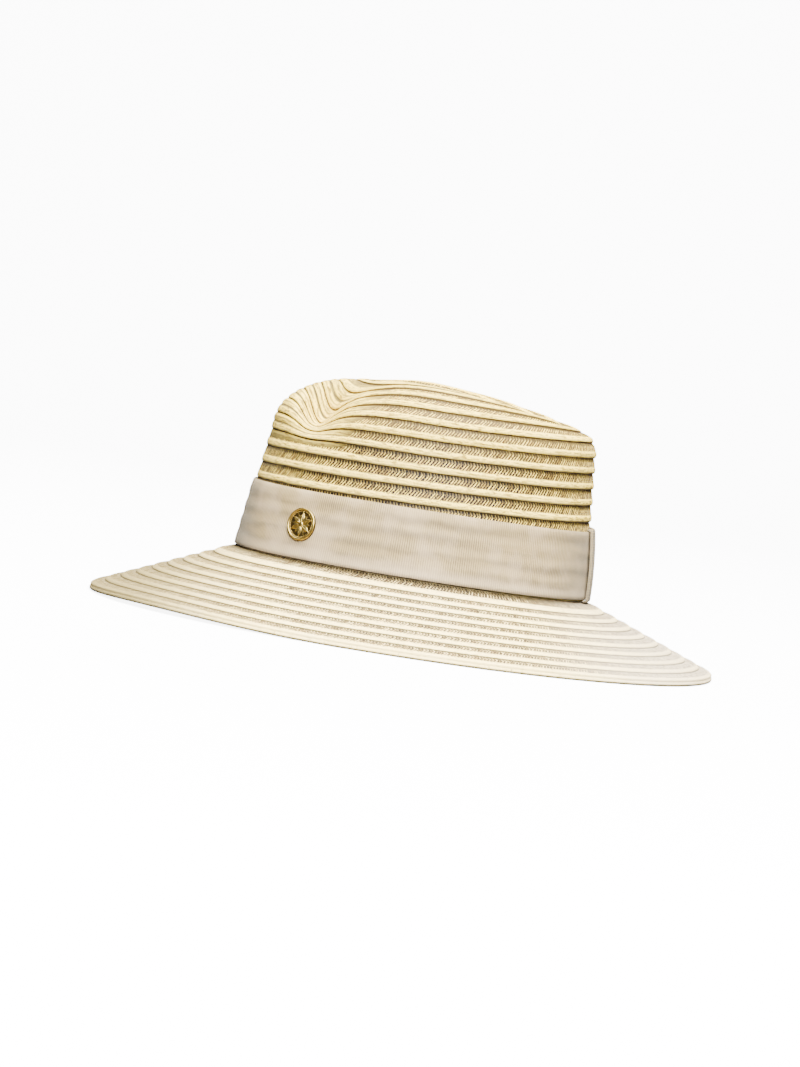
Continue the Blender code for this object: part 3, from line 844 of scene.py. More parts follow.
def crown_straw_finish(straw):
    """Dense ridge, a bed under the mesh painted dark as shade, painted shade on the ridge's lower edge and
    a painted shadow in the valley, by the height on the row. The pinches close the bed into two folds with
    painted shade in their creases, the painted shade is lighter on the rows near the top, and the front end
    gets painted shade."""
    made = Finish("crown_straw", 0.55)
    u, level = made.uv()
    v = (level + 0.0001).fract()
    frayed = v + (fibres(made, u, level, 2.2, 3.0) - 0.5) * 0.26
    ridge = frayed.between(RIDGE_END + 0.015, RIDGE_END - 0.02) * v.between(-0.005, 0.02)
    closed = made.field("dense")
    high = level.between(*PALE_ROWS)
    fold = (v - RIDGE_END - 0.01).size().between(0.11, 0.04) * closed
    second = (v - 0.73).size().between(0.07, 0.02) * closed * 0.6
    lines = straw_lines(made, u, v, 0.3)
    broken = fibres(made, u, level, 0.35, 8.0).between(0.42, 0.58)
    fleck = fibres(made, u + 90.0, level, 0.4, 9.0).between(0.52, 0.61)
    plait = ((u + v * 3.0).fract() - 0.5).size().between(0.32, 0.5)
    tone = made.noise(38.0, None, 3.0)
    tan = scaled(straw.ridge, 0.17, 0.14, 0.13)
    cream = made.mix(lines * broken * 0.75, rgb(straw.ridge), tan)
    cream = made.mix(fleck * 0.8, cream, tan)
    cream = made.mix(plait * 0.15, cream, tan)
    # Painted shade on the ridge's lower edge, where it rolls under towards the valley, weaker in the
    # pinches and on the top rows
    lip_shade = v.between(0.17, 0.05) * (0.94 - closed * 0.45) * (1 - high * 0.55)
    cream = made.mix(lip_shade, cream, (0.11, 0.086, 0.042))
    cream = made.mix(tone.between(0.35, 0.7) * 0.30, cream, (0.95, 0.70, 0.17))
    # The bed under the open mesh is painted near black as the shade inside the hat, with a painted shadow
    # line just under the lip of the row above; on the top rows this painted shade is lighter, and in the
    # pinches the bed takes the ridge's colour
    dark = made.mix(v.between(0.9, 0.98), rgb(straw.hole_shade), rgb(straw.valley))
    dark = made.mix(high * 0.45, dark, (0.17, 0.115, 0.04))
    dark = made.mix(closed * v.between(0.97, 0.90) * 0.9, dark, cream)
    height = ridge * (0.6 - lines * broken * 0.35 - plait * 0.4)
    made.bump(height, 0.45 * MM, 0.9)
    # Painted shade in the creases of the pinch's two folds, then painted shade at the front end
    colour = made.mix(fold.top(second) * 0.9, made.mix(ridge, dark, cream), rgb(straw.valley))
    colour = paint_end_light_and_shade(made, colour, CROWN_END_SHADE)
    return made.feed(Base_Color=colour, Roughness=0.5 + fibres(made, u, v, 1.0, 6.0) * 0.2)


def strand_finish(straw, name, colour, shade, shade_from, clumps, ends):
    """Straw strands, each with its own tone, times shade, which is below 1 for a lower layer painted as a
    shaded copy.
    Their sides carry painted shade, and so do the strands from the share shade_from on, where they go under
    the row above, and at the hat's ends; scattered clumps are darker. The first UV coordinate is the tone,
    plus 2 on a side."""
    made = Finish(name, 0.5)
    tone, share = made.uv()
    light = scaled(colour, shade)
    warm = scaled(scaled(colour, 0.62, 0.52, 0.42), shade)
    colour = made.mix(tone.fract() ** 2.0, light, warm)
    colour = made.mix(tone.fract().between(0.80, 0.95) * 0.5, colour, rgb(straw.valley))
    # Painted shade on the strands' sides and ends, and where they go under the row above
    colour = made.mix(tone.between(1.4, 1.6) * 0.85, colour, rgb(straw.valley))
    colour = made.mix(share.between(shade_from, shade_from + 0.24) * 0.85, colour, rgb(straw.valley))
    # Painted shade at the hat's front end, and on the brim a paler painted light at its back end
    colour = paint_end_light_and_shade(made, colour, ends)
    clump = made.noise(540.0, None, 1.0).between(0.46, 0.60)
    colour = made.mix(clump * clumps, colour, rgb(straw.valley))
    grain = made.noise(900.0, None, 2.0)
    made.bump(grain, 0.06 * MM, 0.5)
    return made.feed(Base_Color=colour, Roughness=0.42 + grain * 0.25)


def inside_finish(straw):
    """The braid from behind: shallow rows with a chevron plait."""
    made = Finish("inside_straw", 0.65)
    u, level = made.uv()
    v = level.fract()
    chevron = (u * 0.25 + (v - 0.5).size() * 2.4).fract()
    plait = (chevron - 0.5).size().between(0.18, 0.46)
    seam = (v - 0.5).size().between(0.40, 0.49)
    colour = made.mix(plait * 0.55, rgb(straw.inside), scaled(straw.inside, 0.42))
    colour = made.mix(seam * 0.7, colour, rgb(straw.valley))
    tone = made.noise(60.0, None, 3.0)
    colour = made.mix(tone.between(0.35, 0.7) * 0.3, colour, (0.72, 0.53, 0.28))
    made.bump(1 - plait * 0.6 - seam, 0.35 * MM, 0.8)
    return made.feed(Base_Color=colour, Roughness=0.55 + tone * 0.2)


def brim_finish(straw):
    """Pale braid: a dense edge on each row, a bed under its mesh painted dark as shade, darkest beside the
    band, and thin valley lines of painted shade. The front end gets painted shade and the back end a paler,
    greyer painted light."""
    made = Finish("brim_straw", 0.55)
    u, level = made.uv()
    v = level.fract()
    bed = v.between(0.30, 0.36)
    first = level.between(straw.brim_rows - 0.75, straw.brim_rows - 0.68)
    lines = straw_lines(made, u, v, 0.25)
    broken = fibres(made, u, level, 0.5, 10.0).between(0.44, 0.64)
    fleck = fibres(made, u + 90.0, level, 0.9, 14.0).between(0.58, 0.70)
    valley = v.between(0.93, 0.99).top(v.between(0.012, -0.01))
    tan = scaled(straw.brim, 0.22, 0.18, 0.14)
    pale = made.mix(lines * broken * 0.6, rgb(straw.brim), tan)
    pale = made.mix(fleck * 0.5, pale, tan)
    tone = made.noise(30.0, None, 3.0)
    pale = made.mix(tone.between(0.4, 0.7) * 0.3, pale, (0.95, 0.77, 0.46))
    # The bed under the mesh is painted dark as shade, darkest in the first row, in the band's shadow
    ground = made.mix(first, rgb(straw.brim_bed_shade), rgb(straw.hole_shade))
    pale = made.mix(bed, pale, ground)
    # Thin valley lines of painted shade under each row's edge, then painted shade at the front end and a
    # paler painted light at the back
    colour = made.mix(valley * 0.95, pale, rgb(straw.brim_valley_shade))
    colour = paint_end_light_and_shade(made, colour, BRIM_END_LIGHT_AND_SHADE)
    made.bump(1 - lines * broken * 0.3 - valley * 0.5, 0.3 * MM, 0.8)
    return made.feed(Base_Color=colour, Roughness=0.5 + fibres(made, u, v, 1.0, 6.0) * 0.2)


def rim_finish(straw):
    """The folded edge: coarse, greyer plait along the rim."""
    made = Finish("rim_straw", 0.62)
    u, level = made.uv()
    plait = ((u + level * 1.5).fract() - 0.5).size().between(0.3, 0.5)
    tone = made.noise(45.0, None, 3.0)
    colour = made.mix(plait * 0.6, rgb(straw.rim), scaled(straw.rim, 0.5))
    colour = made.mix(tone.between(0.4, 0.7) * 0.4, colour, (0.42, 0.34, 0.19))
    made.bump(1 - plait, 0.3 * MM, 0.7)
    return made.feed(Base_Color=colour)


def brim_shell(surface, straw):
    """The brim: a collar inside the crown's foot, the rows' section carried round the top, a rounded
    rim, shallow rows underneath, and back up inside the collar."""
    columns = BRIM_COLUMNS
    turn = np.arange(columns) * 2 * math.pi / columns
    rows = straw.brim_rows
    collar = -(CROWN_WALL + GAP)
    rings, spans, levels, slots = [], [], [], []

    def add(points, span, level, slot):
        rings.append(points)
        spans.append(span)
        levels.append(level)
        slots.append(slot)

    inner_span = along_rows(brim_at(turn, 0.0), round(560 * MM / straw.strand_period))
    add(surface.at(turn, COLLAR_HEIGHT, collar - COLLAR_WALL), inner_span, 0.2, 1)
    add(surface.at(turn, COLLAR_HEIGHT, collar), inner_span, 0.3, 1)
    add(surface.at(turn, -GAP, collar), inner_span, 0.6, 1)
    add(surface.at(turn, -GAP, BRAID_RELIEF / 2), inner_span, rows - 0.02, 0)
    for row in range(rows):
        middle = brim_at(turn, brim_out(row + 0.5, rows))
        span = along_rows(middle, round(ring_lengths(middle)[-1] / straw.strand_period))
        for share, height in BRIM_ROW:
            out = brim_out(row + 1 - share, rows)
            if row == rows - 1 and share < 0.03:
                continue
            lift = height * MM * (eased(0.0, 3 * MM, out * 80 * MM) if row == 0 else 1.0)
            add(brim_at(turn, np.full(columns, out), lift), span, rows - 1 - row + share, 0)
    outward = unit(brim_plan(turn, np.ones(columns)) - brim_plan(turn, np.zeros(columns)))
    middle = RIM_THICKNESS / 2
    for angle in np.linspace(75, -80, 9):
        edge = brim_at(turn, np.ones(columns), -middle + middle * math.sin(math.radians(angle)))
        edge[..., :2] += outward * (math.cos(math.radians(angle)) - 0.9) * middle
        add(edge, span, angle / 60.0 if angle < -8 else 0.3, 2 if angle < -8 else 0)
    foot = brim_at(turn, np.ones(columns), -RIM_THICKNESS)
    foot[..., :2] -= outward * RIM_FOOT
    add(foot, span, -1.5, 2)
    for row in range(rows - 1, -1, -1):
        for share, depth in ((0.5, 0.0), (0.04, 0.35)):
            if row == rows - 1 and share == 0.5:
                continue
            out = brim_out(row + share, rows)
            add(brim_at(turn, np.full(columns, out), -BRIM_WALL + depth * MM), span * 4, row + share, 1)
    add(surface.at(turn, 0.0, collar - COLLAR_WALL), span, 0.0, 1)
    ring, column = grid_faces(len(rings), columns, True, True)
    index = ring % len(rings) * columns + column % columns
    at = ring % len(rings)
    uv = np.stack([np.array(spans)[at, column], np.array(levels)[at]], axis=-1)
    face_slots = np.array(slots)[at[:, 2]]
    materials = (brim_finish(straw), inside_finish(straw), rim_finish(straw))
    faces, uv = index[:, ::-1], uv[:, ::-1]
    return mesh_piece("brim_braid", np.concatenate(rings), faces, uv, materials, face_slots)


def ribbon_finish(ribbon, name="ribbon", dotted=False):
    """Grosgrain: a groove painted dark as shade between each pair of ribs, a crossing fine weave in it and
    faint streaks along it, with soft horizontal bands of painted shade about a braid row apart. The band is
    paler low down and has painted shade at its ends. The tab has painted shade on its outermost edge, a
    pale hem inside it and a dotted line of stitches beside that."""
    made = Finish(name, 0.62, Sheen_Weight=0.06, Sheen_Roughness=0.4)
    u, v = made.uv()
    groove = (u.fract() - 0.5).size().between(0.26, 0.5)
    weft = ((v * 3.0).fract() - 0.5).size()
    tone = made.noise(55.0, None, 3.0)
    streak = made.noise(1.0, made.vector(u * 1.3, v * 0.02), 2.0).between(0.3, 0.75)
    drift = made.noise(1.0, made.vector(u * 0.04, v * 0.05), 3.0)
    # swell paints soft horizontal bands of shade, about a braid row apart, for the ripples where the rows
    # push the band out
    swell = (v * (2 * math.pi / RIPPLE_SHADE_PERIOD) + drift * 5).sine() * 0.5 + 0.5
    swell = swell * made.noise(1.0, made.vector(u * 0.02 + 40.0, v * 0.10), 3.0).between(0.28, 0.55)
    patchy = made.noise(1.0, made.vector(u * 0.05, v * 0.1), 2.0).between(0.3, 0.6) * 0.5 + 0.5
    cloth = made.mix(streak * 0.30, rgb(ribbon.cloth), scaled(ribbon.cloth, 0.80))
    cloth = made.mix(swell * 0.6, cloth, scaled(ribbon.cloth, 0.34, 0.35, 0.38))
    # The grooves between the ribs are painted dark as shade, patchily
    cloth = made.mix(groove * patchy, cloth, rgb(ribbon.groove))
    cloth = made.mix(tone.between(0.4, 0.7) * 0.25, cloth, (0.60, 0.45, 0.28))
    height = weft * 0.3 - groove * 0.5
    if dotted:
        out = v.size()
        hem = out.between(0.88, 0.94)
        dots = out.between(0.80, 0.83) * out.between(0.90, 0.87)
        dots = dots * ((u * 0.8).fract() - 0.5).size().between(0.34, 0.16)
        # Painted shade on the tab's outermost edge and its sides
        cloth = made.mix(out.between(0.955, 0.985) * 0.75, cloth, (0.16, 0.13, 0.08))
        cloth = made.mix(hem * out.between(0.985, 0.955) * 0.8, cloth, rgb(ribbon.edge))
        cloth = made.mix(dots * 0.9, cloth, rgb(ribbon.stitch))
        height = height + hem * 0.5 - dots * 0.8
    else:
        cloth = made.mix(v.between(9.0, 3.0) * 0.35, cloth, (0.52, 0.40, 0.25))
        # Painted shade at the band's front and back ends
        cloth = paint_end_light_and_shade(made, cloth, BAND_END_SHADE)
    made.bump(height, 0.12 * MM, 0.7)
    return made.feed(Base_Color=cloth, Roughness=0.55 + tone * 0.2)


def ribbon_band(surface, ribbon):
    """The band: rounded ribs carried round the crown, |sin| between grooves, over soft ripples where
    the rows of braid push it out, with each rib ending in a small loop at the lower edge."""
    fine = np.linspace(0, 2 * math.pi, 2001)[:-1]
    lengths = ring_lengths(surface.at(fine, BAND_WIDTH / 2 + 0 * fine, 2 * MM))
    ribs = round(lengths[-1] / ribbon.rib_pitch)
    columns = ribs * RIB_COLUMNS
    along = np.arange(columns) / columns
    turn = np.interp(along * lengths[-1], lengths, np.append(fine, 2 * math.pi))
    rib = np.abs(np.sin(math.pi * np.arange(columns) / RIB_COLUMNS))
    low = band_low(turn)
    inside = BRAID_RELIEF + GAP
    outside = inside + BAND_WALL - 0.1 * MM
    rings, levels = [], []
    for share in (1.0, 0.5, 0.0):
        rings.append(surface.at(turn, low + BAND_WIDTH * share, inside))
        levels.append(share * 40)
    heights = np.linspace(0, 1, BAND_RINGS)
    for number, share in enumerate(heights):
        climb = low + BAND_WIDTH * share
        row = np.zeros_like(turn)
        for k in range(1, 7):
            row = np.where(climb >= surface.row_edge(turn, k), k, row)
        up_row = (climb - surface.row_edge(turn, row)) / BRAID_PITCH
        soft = 0.65 + 0.35 * smooth_noise(turn, climb, 5)
        soft = soft * eased(0, 5 * MM, climb - low)
        ripple = ribbon.ripple * np.cos(2 * math.pi * (up_row - 0.22)) * soft
        swell = 0.12 * MM * smooth_noise(turn, climb * 0.3, 11, 5)
        end = min(number, len(heights) - 1 - number)
        drop = (0.55 * MM, 0.12 * MM, 0.0)[min(end, 2)]
        if number in (1, len(heights) - 2):
            climb = low + (0.35 * MM if number == 1 else BAND_WIDTH - 0.35 * MM)
        if end == 0:
            climb = climb + (0.5 * MM if number == 0 else -0.2 * MM) * (1 - rib)
        rings.append(surface.at(turn, climb, outside + ripple + swell + ribbon.rib_relief * rib - drop))
        levels.append(share * 40)
    ring, column = grid_faces(len(rings), columns, True, True)
    index = ring % len(rings) * columns + column % columns
    uv = np.stack([column / RIB_COLUMNS, np.array(levels)[ring % len(rings)]], axis=-1)
    return mesh_piece("ribbon_band", np.concatenate(rings), index, uv, (ribbon_finish(ribbon),))


def ribbon_tab(surface, ribbon):
    """The tab: one strip across the band, folded in over both its edges with a rounded turn. Its ribs
    run across it, and both its selvages are a little thicker."""
    back = np.array([math.pi])
    near = surface.at(back + 0.01, 0.0) - surface.at(back - 0.01, 0.0)
    half_turn = TAB_WIDTH / 2 / (float(np.linalg.norm(near)) / 0.02)
    hem_side = np.array([0.93, 0.96, 0.985, 1.0])
    side = np.concatenate([-hem_side[::-1], np.linspace(-0.9, 0.9, 37), hem_side])
    turn = math.pi + side * half_turn
    low = band_low(turn)
    inside = BRAID_RELIEF + GAP
    under = inside + BAND_WALL + 1.5 * GAP
    over = under + TAB_WALL
    count = TAB_STEPS
    share = np.linspace(0, 1, count)
    bottom, top = low - GAP - TAB_WALL, low + BAND_WIDTH + GAP + TAB_WALL
    hem = np.interp(np.abs(side), [0, 0.86, 0.92, 0.97, 1.0], [0, 0, 0.22, 0.18, -0.35]) * MM
    ribs = round(BAND_WIDTH / ribbon.rib_pitch)
    paths = []
    for skin, radius in ((0.0, 0.9 * MM), (TAB_WALL, 0.25 * MM)):
        height = over - skin - inside
        face = top - bottom - 2 * skin - 2 * radius
        straight = height - radius
        arc = math.pi / 2 * radius
        whole = 2 * straight + 2 * arc + face
        way = share[:, None] * whole[None, :]
        climb = np.clip(way - straight - arc, 0, face) + bottom + skin + radius
        bend = np.clip((way - straight) / arc, 0, 1) * math.pi / 2
        unbend = np.clip((way - straight - arc - face) / arc, 0, 1) * math.pi / 2
        climb = climb - radius * np.cos(bend) + radius * np.sin(unbend)
        offset = np.clip(way, 0, straight) + radius * np.sin(bend) - radius * (1 - np.cos(unbend))
        offset = inside + offset - np.clip(way - straight - 2 * arc - face, 0, straight)
        rib = np.abs(np.sin(math.pi * ribs * share))[:, None] * ribbon.rib_relief
        bulge = 1.1 * MM * np.sin(math.pi * np.clip((climb - bottom) / (top - bottom), 0, 1)) ** 0.7
        offset = offset + bulge
        if skin == 0:
            offset = offset + rib + hem[None, :]
        else:
            offset = offset - hem[None, :] * 0.3 * (np.abs(side) > 0.98)
        paths.append(surface.at(turn[None, :], climb, offset))
    outer, inner = paths
    width = len(side)
    points = np.concatenate([outer.reshape(-1, 3), inner[::-1].reshape(-1, 3)])
    ring, column = grid_faces(2 * count, width, False, True)
    index = ring % (2 * count) * width + column
    way_out = np.concatenate([share, share[::-1]])
    uv = np.stack([way_out[ring % (2 * count)] * ribs, side[column]], axis=-1)
    k = np.arange(count - 1)
    caps, cap_uv = [], []
    for last in (0, width - 1):
        quad = np.stack([k, k + 1, 2 * count - 2 - k, 2 * count - 1 - k], axis=-1)
        quad = quad if last == 0 else quad[:, ::-1]
        caps.append(quad * width + last)
        cap_uv.append(np.stack([way_out[quad] * ribs, np.full(quad.shape, side[last])], axis=-1))
    faces = np.concatenate([index, *caps])
    corners = np.concatenate([uv, *cap_uv])
    finish = ribbon_finish(ribbon, "ribbon_tab", dotted=True)
    return mesh_piece("ribbon_tab", points, faces, corners, (finish,))


def badge_frame(surface):
    """Where the badge sits: on the band, half way up it, with its own Z out of the hat."""
    turns = np.linspace(0, math.pi / 2, 2000)
    middle = band_low(turns) + BAND_WIDTH / 2
    outside = BRAID_RELIEF + GAP + BAND_WALL
    line = surface.at(turns, middle, outside)
    best = int(np.argmin(np.abs(line[:, 1] - BADGE_PLACE)))
    centre = Vector(line[best])
    out = (centre - Vector(surface.at(turns, middle)[best])).normalized()
    up = Vector(surface.at(turns, middle + MM, outside)[best]) - centre
    side = up.cross(out).normalized()
    seat = Matrix((side, out.cross(side), out)).transposed().to_4x4()
    seat.translation = centre + out * GAP
    return seat


def badge_height(radius, angle, badge):
    """Height of the badge over its back: a rounded raised edge, a ring of beads, a flat ground, two
    layers of petals whose width follows a sine from the boss to the point with a crease down the
    middle, and a domed boss."""
    outer = badge.diameter / 2
    middle = outer - badge.edge / 2
    across = np.clip((radius - middle) / (badge.edge / 2), -1, 1)
    edge = BADGE_BASE + (badge.height - BADGE_BASE) * np.sqrt(np.clip(1 - across**2, 0, 1))
    ground = np.where(radius > middle, 0.15 * MM, BADGE_BASE)
    height = np.where(np.abs(radius - middle) < badge.edge / 2, np.maximum(edge, ground), ground)
    bead_ring = outer - badge.edge - BEAD_INSET
    bead_angle = (angle * BEADS / (2 * math.pi)) % 1 - 0.5
    bead = 1 - ((radius - bead_ring) / BEAD_RADIUS) ** 2 - (bead_angle / 0.42) ** 2
    height = np.maximum(height, BADGE_BASE + BEAD_RADIUS * np.sqrt(np.clip(bead, 0, 1)))
    step = 2 * math.pi / badge.petals
    for turned_by, reach, rise in PETAL_LAYERS:
        bearing = (angle / step + turned_by) % 1 * step - step / 2
        forward = radius * np.cos(bearing)
        aside = np.abs(radius * np.sin(bearing))
        share = (forward - 1.2 * MM) / (badge.petal_length * reach + 0.5 * MM)
        half = badge.petal_breadth / 2 * np.sin(math.pi * np.clip(share, 0, 1) ** 0.8)
        inside = np.clip(1 - aside / np.maximum(half, 1e-6), 0, 1)
        crown = np.sqrt(np.clip(1 - (1 - inside) ** 2, 0, 1))
        crease = 0.35 * np.exp(-((aside / (0.16 * MM)) ** 2))
        lifted = BADGE_BASE + rise * crown * (1 - crease) * (1 - 0.35 * np.clip(share, 0, 1))
        height = np.where(inside > 0, np.maximum(height, lifted), height)
    boss = np.clip(1 - (radius / BOSS_RADIUS) ** 2, 0, 1)
    return np.maximum(height, np.where(boss > 0, BADGE_BASE + 0.35 * MM + 0.55 * MM * np.sqrt(boss), 0))


def badge_metal(badge):
    """Cast metal: bright on the high parts, dark in the ground, with fine casting grain. The piece's
    first UV coordinate holds its height over the ground."""
    made = Finish("badge_gold", 0.3, 1.0)
    height, _ = made.uv()
    worn = height.between(0.06, 0.42)
    grain = made.noise(1500.0, None, 2.0)
    tone = made.noise(260.0, None, 2.0)
    metal = made.mix(tone.between(0.35, 0.7) * 0.4, rgb(badge.metal), scaled(badge.metal, 0.72))
    made.bump(grain, 0.03 * MM, 0.5)
    colour = made.mix(worn, rgb(badge.recess), metal)
    return made.feed(Base_Color=colour, Roughness=0.62 - worn * 0.34 + grain * 0.06)


def cast_badge(surface, badge):
    """The badge as a height over a disc, on rings and spokes, closed by a flat back."""
    spokes = BADGE_SPOKES
    outer = badge.diameter / 2
    radii = np.concatenate([
        np.linspace(0.1 * MM, outer - badge.edge - 0.9 * MM, 62),
        np.linspace(outer - badge.edge - 0.85 * MM, outer - 0.02 * MM, 40),
    ])
    angle = np.arange(spokes) * 2 * math.pi / spokes
    radius = radii[:, None] + 0 * angle[None, :]
    height = badge_height(radius, angle[None, :], badge)
    top = np.stack([radius * np.cos(angle), radius * np.sin(angle), height], axis=-1)
    rim = np.stack([outer * np.cos(angle), outer * np.sin(angle), 0.15 * MM + 0 * angle], axis=-1)
    under = rim * np.array([1, 1, 0])
    centre = np.array([[0, 0, float(height[0].mean())], [0, 0, 0]])
    rings = [*top, rim, under]
    points = np.concatenate([*rings, centre])
    ring, column = grid_faces(len(rings), spokes)
    index = (ring * spokes + column % spokes)[:, ::-1]
    j = np.arange(spokes)
    first, last = len(rings) * spokes, len(rings) * spokes + 1
    base = (len(rings) - 1) * spokes
    first, last = np.full(spokes, first), np.full(spokes, last)
    cap = np.stack([first, j, (j + 1) % spokes, first], axis=-1)
    back = np.stack([last, base + (j + 1) % spokes, base + j, last], axis=-1)
    faces = np.concatenate([index, cap, back])
    over_ground = (points[:, 2] - BADGE_BASE) / (0.6 * MM)
    uv = np.stack([over_ground[faces], over_ground[faces] * 0], axis=-1)
    seat = np.array(badge_frame(surface))
    placed = points @ seat[:3, :3].T + seat[:3, 3]
    return mesh_piece("cast_badge", placed, faces, uv, (badge_metal(badge),), sharp=50)


def ridden(piece, slot, *replaced):
    """Joins a piece to the hat's body and hides the solids that it stands for; slot, its finish's name, is
    not used.
    """
    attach(piece, "root")
    if replaced:
        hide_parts(*replaced)


class FEDORA_OT_crown(bpy.types.Operator):
    """Make the crown's braid with its open mesh."""

    bl_idname = "fedora.crown"
    bl_label = "Crown"

    def execute(self, context):
        straw = context.scene.fedora_straw
        surface = CrownSurface()
        ridden(crown_shell(surface, straw), "crown_straw", "crown")

        def place(turn, row, share):
            mixed = surface.read(turn, surface.on_row(turn, row, share))
            normals = unit(mixed[..., 3:6])
            sunk = normals * mixed[..., 6:] * STRAND_SINK
            return mixed[..., :3] - sunk, normals, surface.relief(turn)

        first = 1
        while float(surface.row_edge(np.zeros(1), first + 1)[0]) < BAND_WIDTH:
            first += 1
        rows = range(first, surface.rows)
        # The lower layer's finish is the strands' times 0.30: painted shade where it lies under the upper
        # layer
        over = strand_finish(straw, "straw_strand", straw.strand, 1.0, 0.66, 0.72, CROWN_END_SHADE)
        under = strand_finish(straw, "straw_under_strand", straw.strand, 0.30, 0.66, 0.72, CROWN_END_SHADE)
        layers = (("crown_mesh", 1.0, straw.strand_width, 0.0, over),
                  ("crown_under_mesh", -0.9, straw.under_width, straw.under_depth, under))
        for seed, (name, lean, width, sink, finish) in enumerate(layers):
            widths = [width] * len(rows)
            made = strand_pieces(name, place, rows, CROWN_STRANDS, straw, lean, widths,
                                 straw.strand_thickness, sink, finish, seed)
            ridden(made, "crown_straw")
        return {"FINISHED"}


class FEDORA_OT_brim(bpy.types.Operator):
    """Make the brim's braid, its rim and the mesh beside the band."""

    bl_idname = "fedora.brim"
    bl_label = "Brim"

    def execute(self, context):
        straw = context.scene.fedora_straw
        shell = brim_shell(CrownSurface(), straw)
        shell.visible_diffuse = False
        ridden(shell, "brim_straw", "brim")
        count = straw.brim_rows

        def place(turn, row, share):
            out = brim_out(row + 1 - np.broadcast_to(share, turn.shape), count)
            points = brim_at(turn, out)
            around = brim_at(turn + 0.002, out) - brim_at(turn - 0.002, out)
            inward = brim_at(turn, out - 0.005) - brim_at(turn, out + 0.005)
            return points, unit(np.cross(around, inward)), 1.0

        # The brim's lower layer's finish is the strands' times 0.6: painted shade where it lies under the
        # upper layer
        over = strand_finish(straw, "brim_strand", straw.brim_strand, 1.0, 0.84, 0.50, BRIM_END_LIGHT_AND_SHADE)
        under = strand_finish(straw, "brim_under_strand", straw.brim_strand, 0.6, 0.84, 0.50, BRIM_END_LIGHT_AND_SHADE)
        layers = (("brim_mesh", 1.0, straw.brim_strand_width, straw.strand_width, 0.0, over),
                  ("brim_under_mesh", -1.0, straw.brim_under_width, straw.under_width, 0.03 * MM, under))
        for seed, (name, lean, width, first, sink, finish) in enumerate(layers):
            widths = [first] + [width] * (count - 1)
            # The first row's strands take their painted shade sooner, in the band's shadow
            shades = [0.28] + [0.0] * (count - 1)
            made = strand_pieces(name, place, range(count), BRIM_STRANDS, straw, lean, widths,
                                 straw.brim_thickness, sink, finish, seed + 7, shades, 0.35)
            made.visible_diffuse = False
            ridden(made, "brim_straw")
        return {"FINISHED"}


class FEDORA_OT_ribbon(bpy.types.Operator):
    """Make the ribbon band and its tab."""

    bl_idname = "fedora.ribbon"
    bl_label = "Ribbon"

    def execute(self, context):
        ribbon = context.scene.fedora_ribbon
        surface = CrownSurface()
        band, tab = ribbon_band(surface, ribbon), ribbon_tab(surface, ribbon)
        ridden(band, "ribbon", "hat_band")
        ridden(tab, "ribbon", "band_tab")
        return {"FINISHED"}


class FEDORA_OT_badge(bpy.types.Operator):
    """Make the cast badge, and give its stud the same metal."""

    bl_idname = "fedora.badge"
    bl_label = "Badge"

    def execute(self, context):
        badge = context.scene.fedora_badge
        ridden(cast_badge(CrownSurface(), badge), "badge_gold", "badge")
        made = Finish("stud_metal", 0.35, 1.0)
        tone = made.noise(400.0, None, 2.0)
        made.bump(tone, 0.03 * MM, 0.4)
        colour = made.mix(tone, rgb(badge.metal), scaled(badge.metal, 0.7))
        made.feed(Base_Color=colour, Roughness=0.3 + tone * 0.15)
        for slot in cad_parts["badge_stud"].material_slots:
            slot.material = made.material
        return {"FINISHED"}


def area_light(name, place, target, size, power):
    """A soft square light that faces the target."""
    light = bpy.data.lights.new(name, "AREA")
    light.energy = power
    light.size = size
    lamp = bpy.data.objects.new(name, light)
    lamp.location = place
    lamp.rotation_euler = (Vector(target) - Vector(place)).to_track_quat("-Z", "Y").to_euler()
    bpy.context.scene.collection.objects.link(lamp)


def sweep_across(name, way, rise, material):
    """A sheet that follows a line of places along X and heights, as wide as the stage."""
    across = np.array([-STAGE_REACH, 0.0, STAGE_REACH])
    way, rise = way[:, None] + 0 * across, rise[:, None] + 0 * across
    points = np.stack([way, across + 0 * way, rise], axis=-1).reshape(-1, 3)
    ring, column = grid_faces(len(way), 3, False)
    index = (ring * 3 + column)[:, ::-1]
    return mesh_piece(name, points, index, np.zeros((len(index), 4, 2)), (material,))


class FEDORA_OT_stage(bpy.types.Operator):
    """Make the floor, the backdrop, the lights and the camera."""

    bl_idname = "fedora.stage"
    bl_label = "Stage"

    def execute(self, context):
        stage = context.scene.fedora_stage
        paper = Finish("paper", 0.9, Emission_Color=(1.0, 1.0, 1.0, 1.0), Emission_Strength=stage.glow)
        grain = paper.noise(3.0, None, 2.0)
        paper.feed(Base_Color=paper.mix(grain * 0.04, rgb(stage.floor), scaled(stage.floor, 0.97)))
        bend = np.linspace(0, math.pi / 2, 24)
        flat = (np.array([STAGE_REACH, 0.0, BEND_START]), np.zeros(3))
        way = np.append(BEND_START - BEND_RADIUS * np.sin(bend), BEND_START - BEND_RADIUS)
        curve = (way, np.append(BEND_RADIUS - BEND_RADIUS * np.cos(bend), BACKDROP_TOP))
        for name, sweep in (("floor", flat), ("backdrop", curve)):
            sheet = sweep_across(name, *sweep, paper.material)
            sheet.visible_diffuse = False
            sheet.visible_glossy = False
        for light, power in zip(LIGHTS, (stage.key_power, stage.top_power, stage.backdrop_power)):
            area_light(*light, power)
        world = bpy.data.worlds.new("sky")
        world.use_nodes = True
        sky = world.node_tree.nodes["Background"]
        sky.inputs[0].default_value = (1.0, 1.0, 1.0, 1.0)
        sky.inputs[1].default_value = stage.sky
        context.scene.world = world
        place_camera(context)
        return {"FINISHED"}


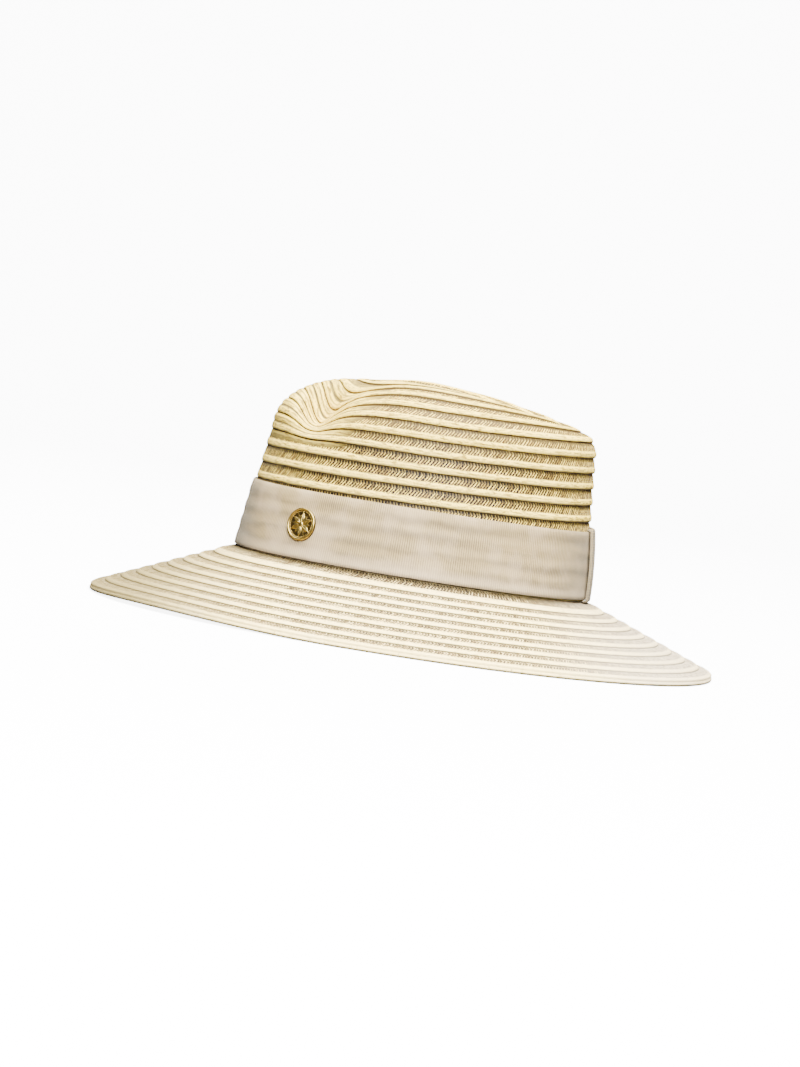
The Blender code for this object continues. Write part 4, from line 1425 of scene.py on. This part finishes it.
def place_camera(context):
    """The camera looks at the hat's left side from a little above, rolled in its own plane."""
    back = Vector((math.cos(CAMERA_RISE), 0.0, math.sin(CAMERA_RISE)))
    level_up = Vector((-math.sin(CAMERA_RISE), 0.0, math.cos(CAMERA_RISE)))
    level_right = level_up.cross(back)
    up = level_up * math.cos(CAMERA_ROLL) - level_right * math.sin(CAMERA_ROLL)
    right = level_up * math.sin(CAMERA_ROLL) + level_right * math.cos(CAMERA_ROLL)
    lens = bpy.data.cameras.new("camera")
    lens.sensor_fit = "AUTO"
    lens.sensor_width = SENSOR
    lens.lens = SENSOR * FOCAL_PIXELS / FRAME_PIXELS
    lens.clip_end = 50.0
    camera = bpy.data.objects.new("camera", lens)
    turned = Matrix((right, up, back)).transposed().to_4x4()
    turned.translation = Vector(CAMERA_TARGET) + back * CAMERA_DISTANCE
    camera.matrix_world = turned
    context.scene.collection.objects.link(camera)
    context.scene.camera = camera


class FEDORA_PT_panel(bpy.types.Panel):
    """Lists the hat's pieces and their settings."""

    bl_label = "Straw fedora"
    bl_space_type = "VIEW_3D"
    bl_region_type = "UI"
    bl_category = "Fedora"

    def draw(self, context):
        for steps, group in PANEL_ROWS:
            box = self.layout.box()
            for step in steps:
                box.operator(step)
            settings = getattr(context.scene, group)
            for key in settings.__annotations__:
                box.prop(settings, key)


PANEL_ROWS = (
    (("fedora.crown", "fedora.brim"), "fedora_straw"),
    (("fedora.ribbon",), "fedora_ribbon"),
    (("fedora.badge",), "fedora_badge"),
    (("fedora.stage",), "fedora_stage"),
)
SETTINGS = {
    "fedora_straw": FedoraStraw,
    "fedora_ribbon": FedoraRibbon,
    "fedora_badge": FedoraBadge,
    "fedora_stage": FedoraStage,
}
CLASSES = (
    *SETTINGS.values(),
    FEDORA_OT_crown,
    FEDORA_OT_brim,
    FEDORA_OT_ribbon,
    FEDORA_OT_badge,
    FEDORA_OT_stage,
    FEDORA_PT_panel,
)


def register():
    for kind in CLASSES:
        bpy.utils.register_class(kind)
    for name, kind in SETTINGS.items():
        setattr(bpy.types.Scene, name, bpy.props.PointerProperty(type=kind))


def unregister():
    for name in SETTINGS:
        delattr(bpy.types.Scene, name)
    for kind in reversed(CLASSES):
        bpy.utils.unregister_class(kind)


def main():
    register()
    bpy.ops.fedora.crown()
    bpy.ops.fedora.brim()
    bpy.ops.fedora.ribbon()
    bpy.ops.fedora.badge()
    bpy.ops.fedora.stage()
    bpy.context.view_layer.update()


if __name__ == "__main__":
    main()
